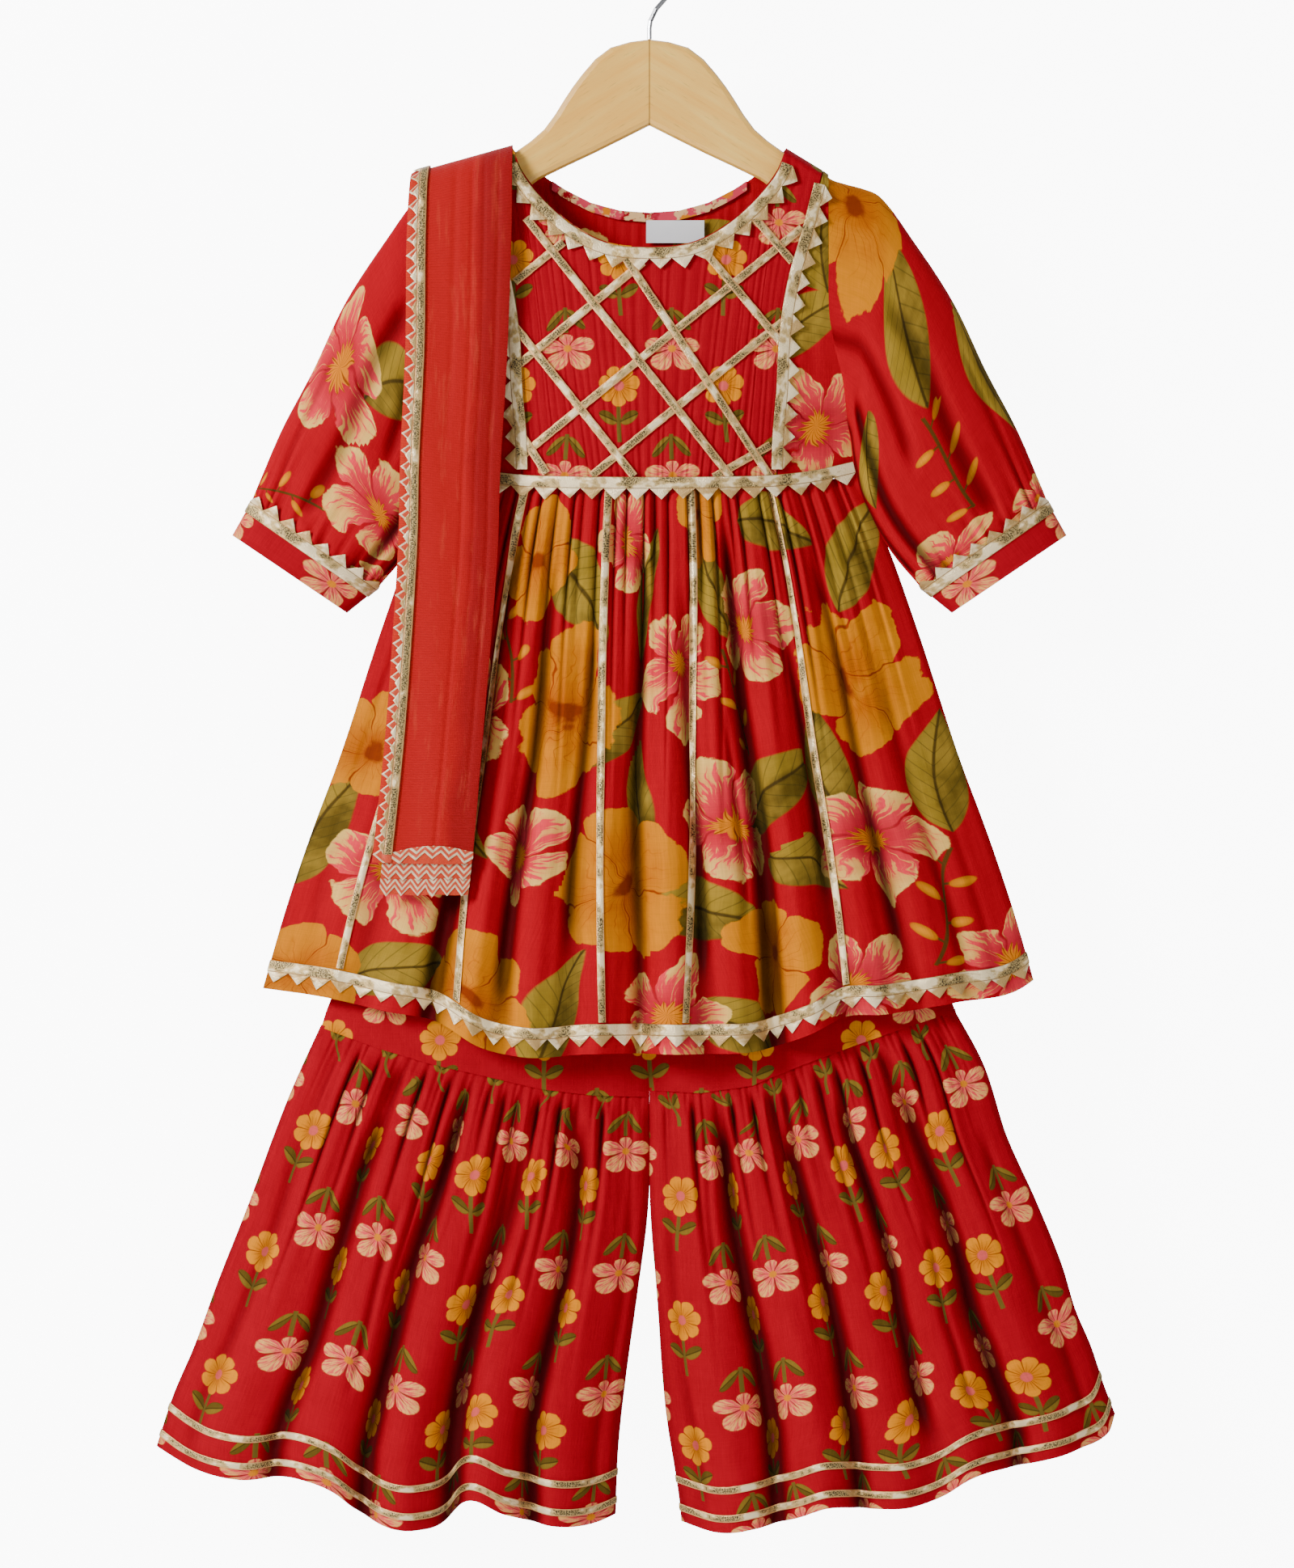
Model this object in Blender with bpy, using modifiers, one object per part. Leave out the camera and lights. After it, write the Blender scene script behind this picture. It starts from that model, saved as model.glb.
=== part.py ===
"""A child's sharara suit on its wooden hanger: kurta, folded net dupatta and flared sharara.

Metres, +Z up. The front faces -Y and +X is on the right of someone who looks at the front.
The origin is where the hook rests on a rail. Tables hold millimetres in that frame.
"""
import math

import bmesh
import bpy
import numpy as np
from mathutils import Matrix

MM = 0.001

# Cloth and trimming
WALL = 1.2 * MM
SEAM = 0.3 * MM
TAPE_WIDTH = 5.0 * MM
TAPE_THICKNESS = 0.5 * MM
TAPE_STEP = 17 * MM
GOTA_THICKNESS = 0.8 * MM
GOTA_BAND = 7.0 * MM
GOTA_TOOTH = 7.0 * MM
GOTA_PITCH = 13.8 * MM
LOW_LIFT = 0.5 * MM
FOLD_LIFT = 0.7 * MM
HIGH_LIFT = LOW_LIFT + TAPE_THICKNESS + SEAM
TOP_LIFT = HIGH_LIFT + TAPE_THICKNESS + SEAM

# Hanger
HANGER_THICKNESS = 11 * MM
HANGER_ROUNDING = 3.5 * MM
HOOK_WIRE = 3.0 * MM
HOOK_RADIUS = 22 * MM
HOOK_STEM_FOOT = -69.2 * MM
HOOK_STEM_HEAD = -58 * MM

# Kurta
EDGE_DEPTH = 1.5 * MM
LENS_POWER = 2.5
SHOULDER_ROUNDING = 7 * MM
ARMHOLE_TOP = -152.5 * MM
ARMHOLE_FOOT = -301 * MM
ARMHOLE_DEPTH = 11 * MM
HEM_STRIP = 22 * MM
HEM_MARGIN = 4.5 * MM
WAIST_GATHER = 1.7 * MM
SKIRT_GATHER = 2.6 * MM
SLEEVE_GATHER = 1.6 * MM
ARMHOLE_GAP = 1.2 * MM
CUFF_TOOTH = 6.0 * MM
CUFF_LACE_LIFT = 0.5 * MM
CUFF_LACE_TILT = 0.3
WAIST_TUCK = 3.0 * MM
FACING_DEPTH = 10 * MM
FACING_THICKNESS = 0.8 * MM
LABEL_SAG = 0.5 * MM
LABEL_SIZE = (36 * MM, 0.6 * MM, 14 * MM)

# Sharara
BAND_TOP = -356 * MM
BAND_FOOT = -374 * MM
BAND_HALF_WIDTH = 104 * MM
BAND_CLEARANCE = 6.2 * MM
BAND_WALL = 2.0 * MM
CROTCH = -556 * MM
CROTCH_BLEND = 45 * MM
KNEE_GATHER = 2.4 * MM
KNEE_PARTS = 6
FLARE_STRIP = 34 * MM
FLARE_TAPE_HEIGHTS = {"lower": 9 * MM, "upper": 26.5 * MM}
FLARE_TAPE_WIDTH = 4.5 * MM

# Dupatta
DUPATTA_WALL = 1.4 * MM
DUPATTA_PITCH = 10 * MM
DUPATTA_TOOTH = 6.5 * MM
DUPATTA_BAND = 5.5 * MM
DUPATTA_LIFT = 0.7 * MM
DUPATTA_FOOT_TEETH = 6


def table(columns, *rows):
    """Rows of millimetres under named columns, as arrays of metres."""
    values = np.array(rows, float) * MM
    return dict(zip(columns.split(), values.T))


def fractions(columns, *rows):
    """Rows of plain numbers under named columns."""
    values = np.array(rows, float)
    return dict(zip(columns.split(), values.T))


NECK_FRONT = table("x z", (0, -198.5), (14, -198), (27, -195.5), (40, -189.5), (53.5, -180),
                   (67, -167), (78, -152.5), (84.5, -136.5))
NECK_BACK = table("x z", (0, -175.5), (21, -174), (41, -168), (60, -156.5), (74, -146), (84.5, -136.5))
SHOULDER = table("x z", (84.5, -136.5), (97, -144.2), (110.5, -152.5))
PRINCESS_GAP = 0.35 * MM
PRINCESS_SEAM = table("z x", (-342, 78.5), (-318.5, 79), (-288, 81.5), (-251.5, 83.5), (-220.5, 88.5),
                      (-188.5, 97.5), (-159.5, 105), (-150, 107.5))
SIDE_SEAM = table("z x", (-345, 127), (-328, 126.5), (-301, 122.5), (-280.5, 120), (-250, 112.5),
                  (-196, 110.5), (-152.5, 110.5))
WAIST_LINE = table("x z", (0, -348), (48, -347.5), (78, -346.3), (103, -343), (128, -337))
YOKE_DEPTH = table("z front back", (-348, 21, 17), (-270, 20, 15), (-200, 16, 12), (-130, 14, 11))

SKIRT_SECTION = table("z half_width front back", (-720, 257, 29, 25), (-656, 239, 28, 24),
                      (-606, 224.5, 27, 23), (-554.5, 207, 26, 22), (-520, 194, 25, 21),
                      (-435, 165, 24, 20), (-387, 147, 23, 19), (-357, 134, 21.5, 17.5), (-337, 127, 20, 16))
SKIRT_HEM = table("x z", (-238, -656), (-197, -661.5), (-162, -669), (-125, -677), (-98, -692), (-72, -697.5),
                  (-34, -695.5), (0, -695.5), (32, -695.5), (62, -694), (95, -683.5), (119, -672.5),
                  (140, -671.5), (162, -668.5), (186, -664.5), (229, -656), (238, -651))
SKIRT_DRIFT = fractions("top hem", (-1, -1), (-0.82, -0.81), (-0.58, -0.485), (-0.19, -0.115),
                        (0.19, 0.083), (0.56, 0.505), (1, 1))
SKIRT_FOLDS = fractions("at width depth", (-0.84, 0.055, 3.0), (-0.66, 0.07, 5.0), (-0.45, 0.05, 6.5),
                        (-0.30, 0.06, 6.0), (-0.13, 0.05, 5.0), (0.06, 0.05, 6.5), (0.22, 0.06, 5.0),
                        (0.41, 0.055, 6.5), (0.58, 0.06, 5.0), (0.75, 0.06, 4.5), (0.88, 0.045, 2.5))
SKIRT_TAPES = {"1": -0.82, "2": -0.58, "3": -0.19, "4": 0.19, "5": 0.56}

SLEEVE_SECTION = table("outer_x outer_z inner_x inner_z depth", (118, -153.5, 124.5, -306, 12.5),
                       (142, -166, 126, -318, 15), (164, -195, 129.5, -334, 17),
                       (188, -232, 135.5, -353, 18), (208, -274, 144, -371, 18), (227, -310, 154, -389, 16),
                       (241, -342.5, 164.2, -403.5, 12.8), (246.2, -355.05, 168.6, -409.15, 10.9))
CUFF_SECTION = table("outer_x outer_z inner_x inner_z depth", (246.5, -355.5, 169, -409.5, 11.5),
                     (258, -376, 187, -424, 12.5))

UPPER_EDGE = table("z x front back", (-730, 216, 9, 9), (-670, 193, 9, 9), (-620, 177, 9, 9),
                   (-560, 160, 11, 11), (-480, 136, 13, 12), (-420, 117, 15, 12.5), (-374, 103, 16, 12.5))
LEGS = {
    "left": {
        "side": -1,
        "knee": table("x z", (2, -723), (42, -721.5), (68, -718), (95, -711.5), (122, -706), (146, -699.5),
                      (172, -691.5), (203, -680)),
        "hem": table("x z", (20, -981), (30, -985), (58, -987), (87, -979), (113, -972), (124, -983.5),
                     (140, -988), (159, -986), (178, -976), (190, -966), (214, -957), (250, -958),
                     (277, -952), (301, -939)),
        "outer": table("z x", (-940, 305), (-927, 301), (-909, 295), (-876, 281), (-840, 268), (-795, 250.5),
                       (-715, 221), (-676, 204)),
        "inner": table("z x", (-985, 21), (-938, 19), (-893, 14), (-846, 7.5), (-795, 2.5), (-715, 2)),
        "folds": fractions("at width depth", (0.10, 0.06, 4.0), (0.27, 0.07, 6.5), (0.46, 0.06, 7.0),
                           (0.63, 0.07, 5.5), (0.84, 0.07, 4.0)),
    },
    "right": {
        "side": 1,
        "knee": table("x z", (2, -719), (28, -720.5), (54, -718.5), (84, -708.5), (107, -697.5), (137, -688),
                      (153, -682), (189, -670)),
        "hem": table("x z", (20, -985.5), (40, -991), (66, -988), (90, -981.5), (107, -975), (136, -975.5),
                     (162, -973.5), (180, -966.5), (193, -958), (233, -948), (260, -940), (281, -928),
                     (287, -919)),
        "outer": table("z x", (-930, 292), (-918, 287.5), (-901, 281), (-877, 273), (-856, 264), (-828, 255.5),
                       (-788, 239.5), (-749, 222), (-700, 206), (-670, 190)),
        "inner": table("z x", (-990, 20), (-978, 19), (-917, 10), (-825, 2.5), (-715, 2)),
        "folds": fractions("at width depth", (0.12, 0.07, 5.5), (0.33, 0.06, 6.5), (0.50, 0.06, 4.5),
                           (0.66, 0.07, 6.5), (0.86, 0.06, 4.0)),
    },
}
FLARE_DEPTH = table("z front back", (-990, 23, 20), (-900, 19, 17), (-800, 14, 13), (-720, 11, 10),
                    (-660, 10, 9))

DUPATTA_SECTION = table("left_x left_z right_x right_z y", (-170, -578, -108.5, -578, -37.5),
                        (-161.5, -495, -101.5, -495, -37), (-154.5, -390, -93.5, -395, -34.5),
                        (-153, -330, -91.5, -338, -31), (-150, -262, -87.5, -270, -27.5),
                        (-149.5, -205, -85, -200, -25), (-148.5, -172, -84.5, -157, -20.5),
                        (-147.5, -156.5, -84.5, -139.5, -12.5), (-146.5, -152, -84.5, -134.6, 0),
                        (-147, -156.5, -84.5, -139.5, 12.5), (-148, -175, -84.5, -160, 19.5),
                        (-149, -225, -85, -225, 23), (-150, -300, -88, -300, 26),
                        (-152, -370, -92, -370, 29))

# Lace on the hems of the dupatta's layers: heights over its foot, and how far it lies out from the front
DUPATTA_FOOT = table("top valley tip lift", (6.5, 2.5, -2, 0.5), (3, -6, -11, -2.5), (1.5, -15, -21, -3.6))

# Tapes of the trellis on the yoke: both ends as x, z
TRELLIS_DOWN = table("from_x from_z to_x to_z", (60.5, -176, 88, -208), (30, -197, 82, -259),
                     (-18, -201, 74.5, -341), (-76, -181, 50, -341), (-84, -246.5, -9.5, -340.5),
                     (-86, -303.5, -63.5, -338.5))
TRELLIS_UP = table("from_x from_z to_x to_z", (-83, -220.5, -53, -196), (-83.5, -274, -4, -208.5),
                   (-84.5, -332.5, 94, -187), (-35.5, -340, 82, -245), (39.5, -341, 74.5, -321))


def smooth(places, values, at):
    """A cubic through a table's rows, with slopes from the neighbouring rows."""
    at = np.clip(at, places[0], places[-1])
    slopes = np.gradient(values, places)
    row = np.clip(np.searchsorted(places, at, side="right") - 1, 0, len(places) - 2)
    span = places[row + 1] - places[row]
    f = (at - places[row]) / span
    start = (1 + 2 * f) * (1 - f) ** 2 * values[row] + f * (1 - f) ** 2 * span * slopes[row]
    end = f * f * (3 - 2 * f) * values[row + 1] - f * f * (1 - f) * span * slopes[row + 1]
    return start + end


def mix(a, b, f):
    """The value a share f of the way from a to b."""
    return a + (b - a) * f


def lens(s):
    """Fullness across a panel: 1 in the middle (s = 0), 0 at its edges (s = -1 and 1)."""
    return 1 - np.abs(s) ** LENS_POWER


def folds_at(folds, s):
    """Depth of the rounded folds in a table at places s across the panel."""
    s = np.asarray(s)[..., None]
    return (folds["depth"] * MM * np.exp(-((s - folds["at"]) / folds["width"]) ** 2)).sum(axis=-1)


def spread(count, turns):
    """Uneven strengths from 0.6 to 1.0 for a row of gathers."""
    return 0.8 + 0.2 * np.sin(turns * np.arange(count))


def material(name, colour, roughness, metallic=0.0):
    """A Principled material."""
    made = bpy.data.materials.new(name)
    made.use_nodes = True
    shader = made.node_tree.nodes["Principled BSDF"]
    shader.inputs["Base Color"].default_value = (*colour, 1.0)
    shader.inputs["Roughness"].default_value = roughness
    shader.inputs["Metallic"].default_value = metallic
    return made


for old in list(bpy.data.objects):
    bpy.data.objects.remove(old)
SUIT = bpy.data.collections.new("sharara_suit")
bpy.context.scene.collection.children.link(SUIT)

BLOOM_COTTON = ("bloom_cotton", (0.55, 0.012, 0.015), 0.8)
SPRIG_COTTON = ("sprig_cotton", (0.45, 0.006, 0.012), 0.8)
GOTA_LACE = ("gota_lace", (0.72, 0.62, 0.42), 0.35, 0.8)
NET = ("net", (0.58, 0.02, 0.012), 0.6)
LABEL_SATIN = ("label_satin", (0.85, 0.85, 0.86), 0.5)
BEECH = ("beech", (0.80, 0.52, 0.22), 0.4)
STEEL_WIRE = ("steel_wire", (0.6, 0.6, 0.6), 0.2, 1.0)


def finish(name, mesh, look):
    """Link a mesh under its node name with a material of its own."""
    made = bpy.data.objects.new(name, mesh)
    SUIT.objects.link(made)
    mesh.materials.append(material(f"{name}_{look[0]}", *look[1:]))
    return made


def grid_normals(points, closed):
    """Unit normals of a grid of points (rows, columns), from the differences along both ways."""
    down = np.gradient(points, axis=0)
    if closed:
        across = np.roll(points, -1, axis=1) - np.roll(points, 1, axis=1)
    else:
        across = np.gradient(points, axis=1)
    normals = np.cross(across, down)
    return normals / np.linalg.norm(normals, axis=2, keepdims=True)


def wall(name, points, look, thickness=WALL, grow=-1, facing=None):
    """A wall on a grid of points (rows, columns): grow -1 thickens it inwards and 1 outwards.

    Facing is the way an open panel looks. Without it the grid closes round a tube.
    Returns the points with their outward normals.
    """
    closed = facing is None
    normals = grid_normals(points, closed)
    look_out = points - points.mean(axis=1, keepdims=True) if closed else np.array(facing)
    inside_out = (normals * look_out).sum() < 0
    rows, columns = points.shape[:2]
    index = np.arange(rows * columns).reshape(rows, columns)
    if closed:
        index = np.concatenate([index, index[:, :1]], axis=1)
    corners = (index[:-1, :-1], index[:-1, 1:], index[1:, 1:], index[1:, :-1])
    faces = np.stack([corner.ravel() for corner in corners], axis=1)
    mesh = bpy.data.meshes.new(name)
    mesh.from_pydata(points.reshape(-1, 3).tolist(), [], faces.tolist())
    if inside_out:
        mesh.flip_normals()
        normals = -normals
    made = finish(name, mesh, look)
    solid = made.modifiers.new("thickness", "SOLIDIFY")
    solid.thickness = thickness
    solid.offset = grow
    return points, normals


def part_way(panel, rows, columns, lift):
    """Points on a panel's facets at fractional rows and columns, moved out by lift."""
    points, normals = panel
    rows, columns = np.broadcast_arrays(rows, columns)
    low = np.clip(np.floor(rows).astype(int), 0, points.shape[0] - 2)
    near = np.clip(np.floor(columns).astype(int), 0, points.shape[1] - 2)
    down = (rows - low)[..., None]
    across = (columns - near)[..., None]

    def blend(values):
        upper = mix(values[low, near], values[low, near + 1], across)
        lower = mix(values[low + 1, near], values[low + 1, near + 1], across)
        return mix(upper, lower, down)

    return blend(points) + blend(normals) * lift


def toothed_edge(count, valley, tip):
    """One value a step: valleys at the even steps and tooth tips at the odd ones."""
    return np.where(np.arange(count) % 2 == 1, tip, valley)


# Hanger

def hanger():
    """A flat arched bar cut from board, rounded at its edges, and its wire hook."""
    top = [(0, -69.5), (24, -74.5), (41.5, -91), (52.5, -106.5), (65, -125), (82, -138.5), (98, -149.5)]
    heel = [(104, -157), (102, -166), (93, -170)]
    under = [(68.5, -156), (34, -139.5), (0, -122.5)]
    half = top + heel + under
    outline = half + [(-x, z) for x, z in reversed(half[1:-1])]
    curve = bpy.data.curves.new("hanger_bar", "CURVE")
    curve.dimensions = "2D"
    curve.fill_mode = "BOTH"
    curve.extrude = HANGER_THICKNESS / 2 - HANGER_ROUNDING
    curve.bevel_depth = HANGER_ROUNDING
    curve.bevel_resolution = 1
    curve.offset = -HANGER_ROUNDING
    curve.resolution_u = 2
    spline = curve.splines.new("BEZIER")
    spline.bezier_points.add(len(outline) - 1)
    for point, (x, z) in zip(spline.bezier_points, outline):
        point.co = (x * MM, z * MM, 0)
        point.handle_left_type = "AUTO"
        point.handle_right_type = "AUTO"
    for index in (0, len(half) - 1):
        spline.bezier_points[index].handle_left_type = "VECTOR"
        spline.bezier_points[index].handle_right_type = "VECTOR"
    spline.use_cyclic_u = True
    curve_to_solid("hanger_bar", curve, BEECH, turn=math.pi / 2)


def curve_to_solid(name, curve, look, turn=0.0):
    """The closed mesh of a curve, turned about X, with its loose caps welded on."""
    guide = bpy.data.objects.new(name + "_curve", curve)
    SUIT.objects.link(guide)
    guide.rotation_euler = (turn, 0, 0)
    bpy.context.view_layer.update()
    mesh = bpy.data.meshes.new_from_object(guide.evaluated_get(bpy.context.evaluated_depsgraph_get()))
    mesh.transform(guide.matrix_world)
    bpy.data.objects.remove(guide)
    work = bmesh.new()
    work.from_mesh(mesh)
    bmesh.ops.remove_doubles(work, verts=work.verts, dist=0.01 * MM)
    bmesh.ops.recalc_face_normals(work, faces=work.faces)
    work.to_mesh(mesh)
    work.free()
    mesh.materials.clear()
    mesh.shade_smooth()
    mesh.set_sharp_from_angle(angle=math.radians(40))
    finish(name, mesh, look)


def hook():
    """Wire from the bar's crown, bent to the right into a round hook whose crown is the origin."""
    radius = HOOK_RADIUS + HOOK_WIRE / 2
    centre = -HOOK_RADIUS
    turns = np.radians(np.linspace(-62, 205, 23))
    arc = np.stack([radius * np.cos(turns), centre + radius * np.sin(turns)], axis=1)
    stem = np.array([(0, HOOK_STEM_FOOT), (0, mix(HOOK_STEM_FOOT, HOOK_STEM_HEAD, 0.6)),
                     (0.6 * MM, HOOK_STEM_HEAD), (4.2 * MM, -50.5 * MM)])
    route = np.concatenate([stem, arc])
    curve = bpy.data.curves.new("hanger_hook", "CURVE")
    curve.dimensions = "3D"
    curve.bevel_depth = HOOK_WIRE / 2
    curve.bevel_resolution = 2
    curve.use_fill_caps = True
    spline = curve.splines.new("POLY")
    spline.points.add(len(route) - 1)
    for point, (x, z) in zip(spline.points, route):
        point.co = (x, 0, z, 1)
    curve_to_solid("hanger_hook", curve, STEEL_WIRE)


# Kurta: yoke

def side_x(z):
    """Half width of the yoke at a height: the armhole seam, then the side seam."""
    return smooth(SIDE_SEAM["z"], SIDE_SEAM["x"], z)


def princess_x(z):
    """Distance of the seam between the yoke's middle and its side panel from the centre line."""
    return smooth(PRINCESS_SEAM["z"], PRINCESS_SEAM["x"], z)


def waist_z(x):
    """Height of the seam between yoke and skirt."""
    return smooth(WAIST_LINE["x"], WAIST_LINE["z"], np.abs(x))


def armhole_depth(z):
    """How far the armhole stands open to the front or back of the shoulder line, at a height."""
    share = np.clip((ARMHOLE_TOP - z) / (ARMHOLE_TOP - ARMHOLE_FOOT), 0.5, 1)
    return EDGE_DEPTH + ARMHOLE_DEPTH * np.sin(math.pi * share) ** 0.5


def shoulder_z(x):
    """Height of the line along the hanger's arm that the yoke hangs from."""
    slope = (SHOULDER["z"][-1] - SHOULDER["z"][0]) / (SHOULDER["x"][-1] - SHOULDER["x"][0])
    return SHOULDER["z"][0] + slope * (np.abs(x) - SHOULDER["x"][0])


def yoke_y(x, z, face):
    """Depth of the yoke's outer surface, front or back, rounded over the hanger at the shoulder."""
    middle = smooth(YOKE_DEPTH["z"], YOKE_DEPTH[face], z)
    edge = armhole_depth(z)
    depth = edge + (middle - edge) * lens(np.clip(np.abs(x) / side_x(z), 0, 1))
    below = np.clip((shoulder_z(x) - z) / SHOULDER_ROUNDING, 0, 1)
    depth = EDGE_DEPTH + (depth - EDGE_DEPTH) * np.sqrt(1 - (1 - below) ** 2)
    return -depth if face == "front" else depth


def on_yoke(x, z, face, lift=0.0):
    """Points of the yoke's outer surface at x and z, moved out by lift."""
    y = yoke_y(x, z, face)
    return np.stack([x, y + np.sign(y) * lift, z], axis=-1)


def neckline(neck, columns, end_x):
    """The top edge of a yoke panel: neck curve and shoulder, evenly spaced from side to side."""
    beyond = SHOULDER["x"] <= end_x
    half_x = np.concatenate([neck["x"], SHOULDER["x"][1:][beyond[1:]], [end_x]])
    half_z = np.concatenate([neck["z"], SHOULDER["z"][1:][beyond[1:]], [shoulder_z(end_x)]])
    length = np.concatenate([[0], np.cumsum(np.hypot(np.diff(half_x), np.diff(half_z)))])
    keep = np.concatenate([[True], np.diff(length) > 0.01 * MM])
    place = np.abs(np.linspace(-1, 1, columns + 1)) * length[-1]
    sense = np.sign(np.linspace(-1, 1, columns + 1))
    x = np.interp(place, length[keep], half_x[keep]) * sense
    z = np.interp(place, length[keep], half_z[keep])
    return x, z


YOKE_ROWS = np.array([0, 0.022, 0.05, 0.12, 0.28, 0.46, 0.64, 0.82, 1.0])


def yoke_middle(name, neck, face, columns, edge):
    """A yoke panel whose top follows the neckline and whose sides follow the edge function."""
    end_x = float(edge(ARMHOLE_TOP + 1 * MM)) - SEAM
    top_x, top_z = neckline(neck, columns, end_x)
    foot_x = np.linspace(-1, 1, columns + 1) * (float(edge(waist_z(end_x))) - SEAM / 2)
    foot_z = waist_z(foot_x)
    down = YOKE_ROWS[:, None]
    z = mix(top_z, foot_z, down)
    x = mix(top_x, foot_x, down)
    pull = np.linspace(-1, 1, columns + 1) ** 5
    x = x + pull * (edge(z) - PRINCESS_GAP - np.abs(x[:, -1:]))
    sense = -1 if face == "front" else 1
    return wall(name, on_yoke(x, z, face), BLOOM_COTTON if face == "back" else SPRIG_COTTON,
                facing=(0, sense, 0))


def yoke_side(name, side):
    """The narrow printed panel between the princess seam and the armhole."""
    down = YOKE_ROWS[:, None]
    z_mid = mix(shoulder_z(110 * MM), waist_z(103 * MM), down)
    across = np.linspace(0, 1, 5)
    x = mix(princess_x(z_mid) + PRINCESS_GAP, side_x(z_mid), across)
    z = mix(shoulder_z(x), waist_z(x), down)
    x = mix(princess_x(z) + PRINCESS_GAP, side_x(z), across)
    wall(name, on_yoke(side * x, z, "front"), BLOOM_COTTON, facing=(0, -1, 0))


def facing_and_label(back):
    """The bias strip inside the back neck, and the blank label that hangs from it."""
    points, _ = back
    columns = points.shape[1]
    centre = (columns - 1) / 2
    places = np.linspace(centre - 3.6, centre + 3.6, 15)
    top = points[0]
    drop = FACING_DEPTH / np.abs(points[3, :, 2] - points[0, :, 2])
    rows = np.stack([np.zeros(columns) + 0.02, 3 * drop])
    rows = np.stack([np.interp(places, np.arange(columns), row) for row in rows])
    depth = WALL + SEAM
    inside = part_way(back, rows, places[None, :], -depth)
    wall("neck_facing", inside, BLOOM_COTTON, FACING_THICKNESS, 1, (0, -1, 0))
    width, thickness, height = LABEL_SIZE
    bpy.ops.mesh.primitive_cube_add(size=1.0)
    label = bpy.context.object
    label.name = "neck_label"
    label.data.name = "neck_label"
    middle = (16 * MM, top[:, 2].min() - FACING_DEPTH - height / 2 + 5 * MM)
    seat = float(yoke_y(*middle, "back")) - WALL - FACING_THICKNESS - 2 * SEAM - LABEL_SAG
    place = (middle[0], seat - thickness / 2, middle[1])
    label.data.transform(Matrix.LocRotScale(place, None, (width, thickness, height)))
    for owner in list(label.users_collection):
        owner.objects.unlink(label)
    SUIT.objects.link(label)
    label.data.materials.append(material("neck_label_satin", *LABEL_SATIN[1:]))


def strip(name, line, half_width, lift, look=GOTA_LACE, thickness=TAPE_THICKNESS):
    """A flat tape on the yoke along a straight line between two places x, z."""
    start = np.array(line[:2])
    end = np.array(line[2:])
    along = np.linspace(0, 1, 2 + int(np.linalg.norm(end - start) / TAPE_STEP))
    way = (end - start) / np.linalg.norm(end - start)
    across = np.array([-way[1], way[0]]) * half_width
    middle = start + (end - start) * along[:, None]
    edges = np.stack([middle + across, middle - across])
    wall(name, on_yoke(edges[..., 0], edges[..., 1], "front", lift), look, thickness, 1, (0, -1, 0))


def trellis():
    """Tapes that cross the yoke's middle: one way lies on the cloth, the other way over it."""
    for index, line in enumerate(zip(*TRELLIS_UP.values())):
        strip(f"tape_trellis_up_{index + 1}", line, TAPE_WIDTH / 2, LOW_LIFT)
    for index, line in enumerate(zip(*TRELLIS_DOWN.values())):
        strip(f"tape_trellis_down_{index + 1}", line, TAPE_WIDTH / 2, HIGH_LIFT)


def lace_on_yoke(name, x, z, out, lift=TOP_LIFT, band=GOTA_BAND, tooth=GOTA_TOOTH):
    """Toothed lace on the yoke along a curve x, z: a tooth every pitch, pointing to the side out."""
    length = np.concatenate([[0], np.cumsum(np.hypot(np.diff(x), np.diff(z)))])
    teeth = max(1, round(length[-1] / GOTA_PITCH))
    place = np.linspace(0, length[-1], 2 * teeth + 1)
    middle = np.stack([np.interp(place, length, x), np.interp(place, length, z)], axis=1)
    way = np.gradient(middle, axis=0)
    way /= np.linalg.norm(way, axis=1, keepdims=True)
    across = np.stack([-way[:, 1], way[:, 0]], axis=1) * out
    reach = toothed_edge(len(place), band / 2, band / 2 + tooth)[:, None]
    edges = np.stack([middle - across * band / 2, middle + across * reach])
    points = on_yoke(edges[..., 0], edges[..., 1], "front", lift)
    wall(name, points, GOTA_LACE, GOTA_THICKNESS, 1, (0, -1, 0))


def yoke_lace():
    """Lace round the front neck, down both princess seams and along the waist seam."""
    drop = GOTA_BAND / 2 + 0.8 * MM
    edge_x, edge_z = neckline(NECK_FRONT, 160, 84.5 * MM)
    way = np.stack([np.gradient(edge_x), np.gradient(edge_z)])
    way /= np.linalg.norm(way, axis=0)
    keep = edge_z < -146 * MM
    lace_on_yoke("gota_neck", (edge_x + way[1] * drop)[keep], (edge_z - way[0] * drop)[keep], -1)
    z = np.linspace(-160, -336, 60) * MM
    for name, side in (("left", -1), ("right", 1)):
        lace_on_yoke(f"gota_yoke_{name}", side * princess_x(z), z, side)
    x = np.linspace(-126.5, 126.5, 80) * MM
    lace_on_yoke("gota_waist", x, waist_z(x) + GOTA_BAND / 2, -1)


# Kurta: skirt

def skirt_edge(z):
    """Half width of the skirt at a height."""
    return smooth(SKIRT_SECTION["z"], SKIRT_SECTION["half_width"], z)


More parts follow.
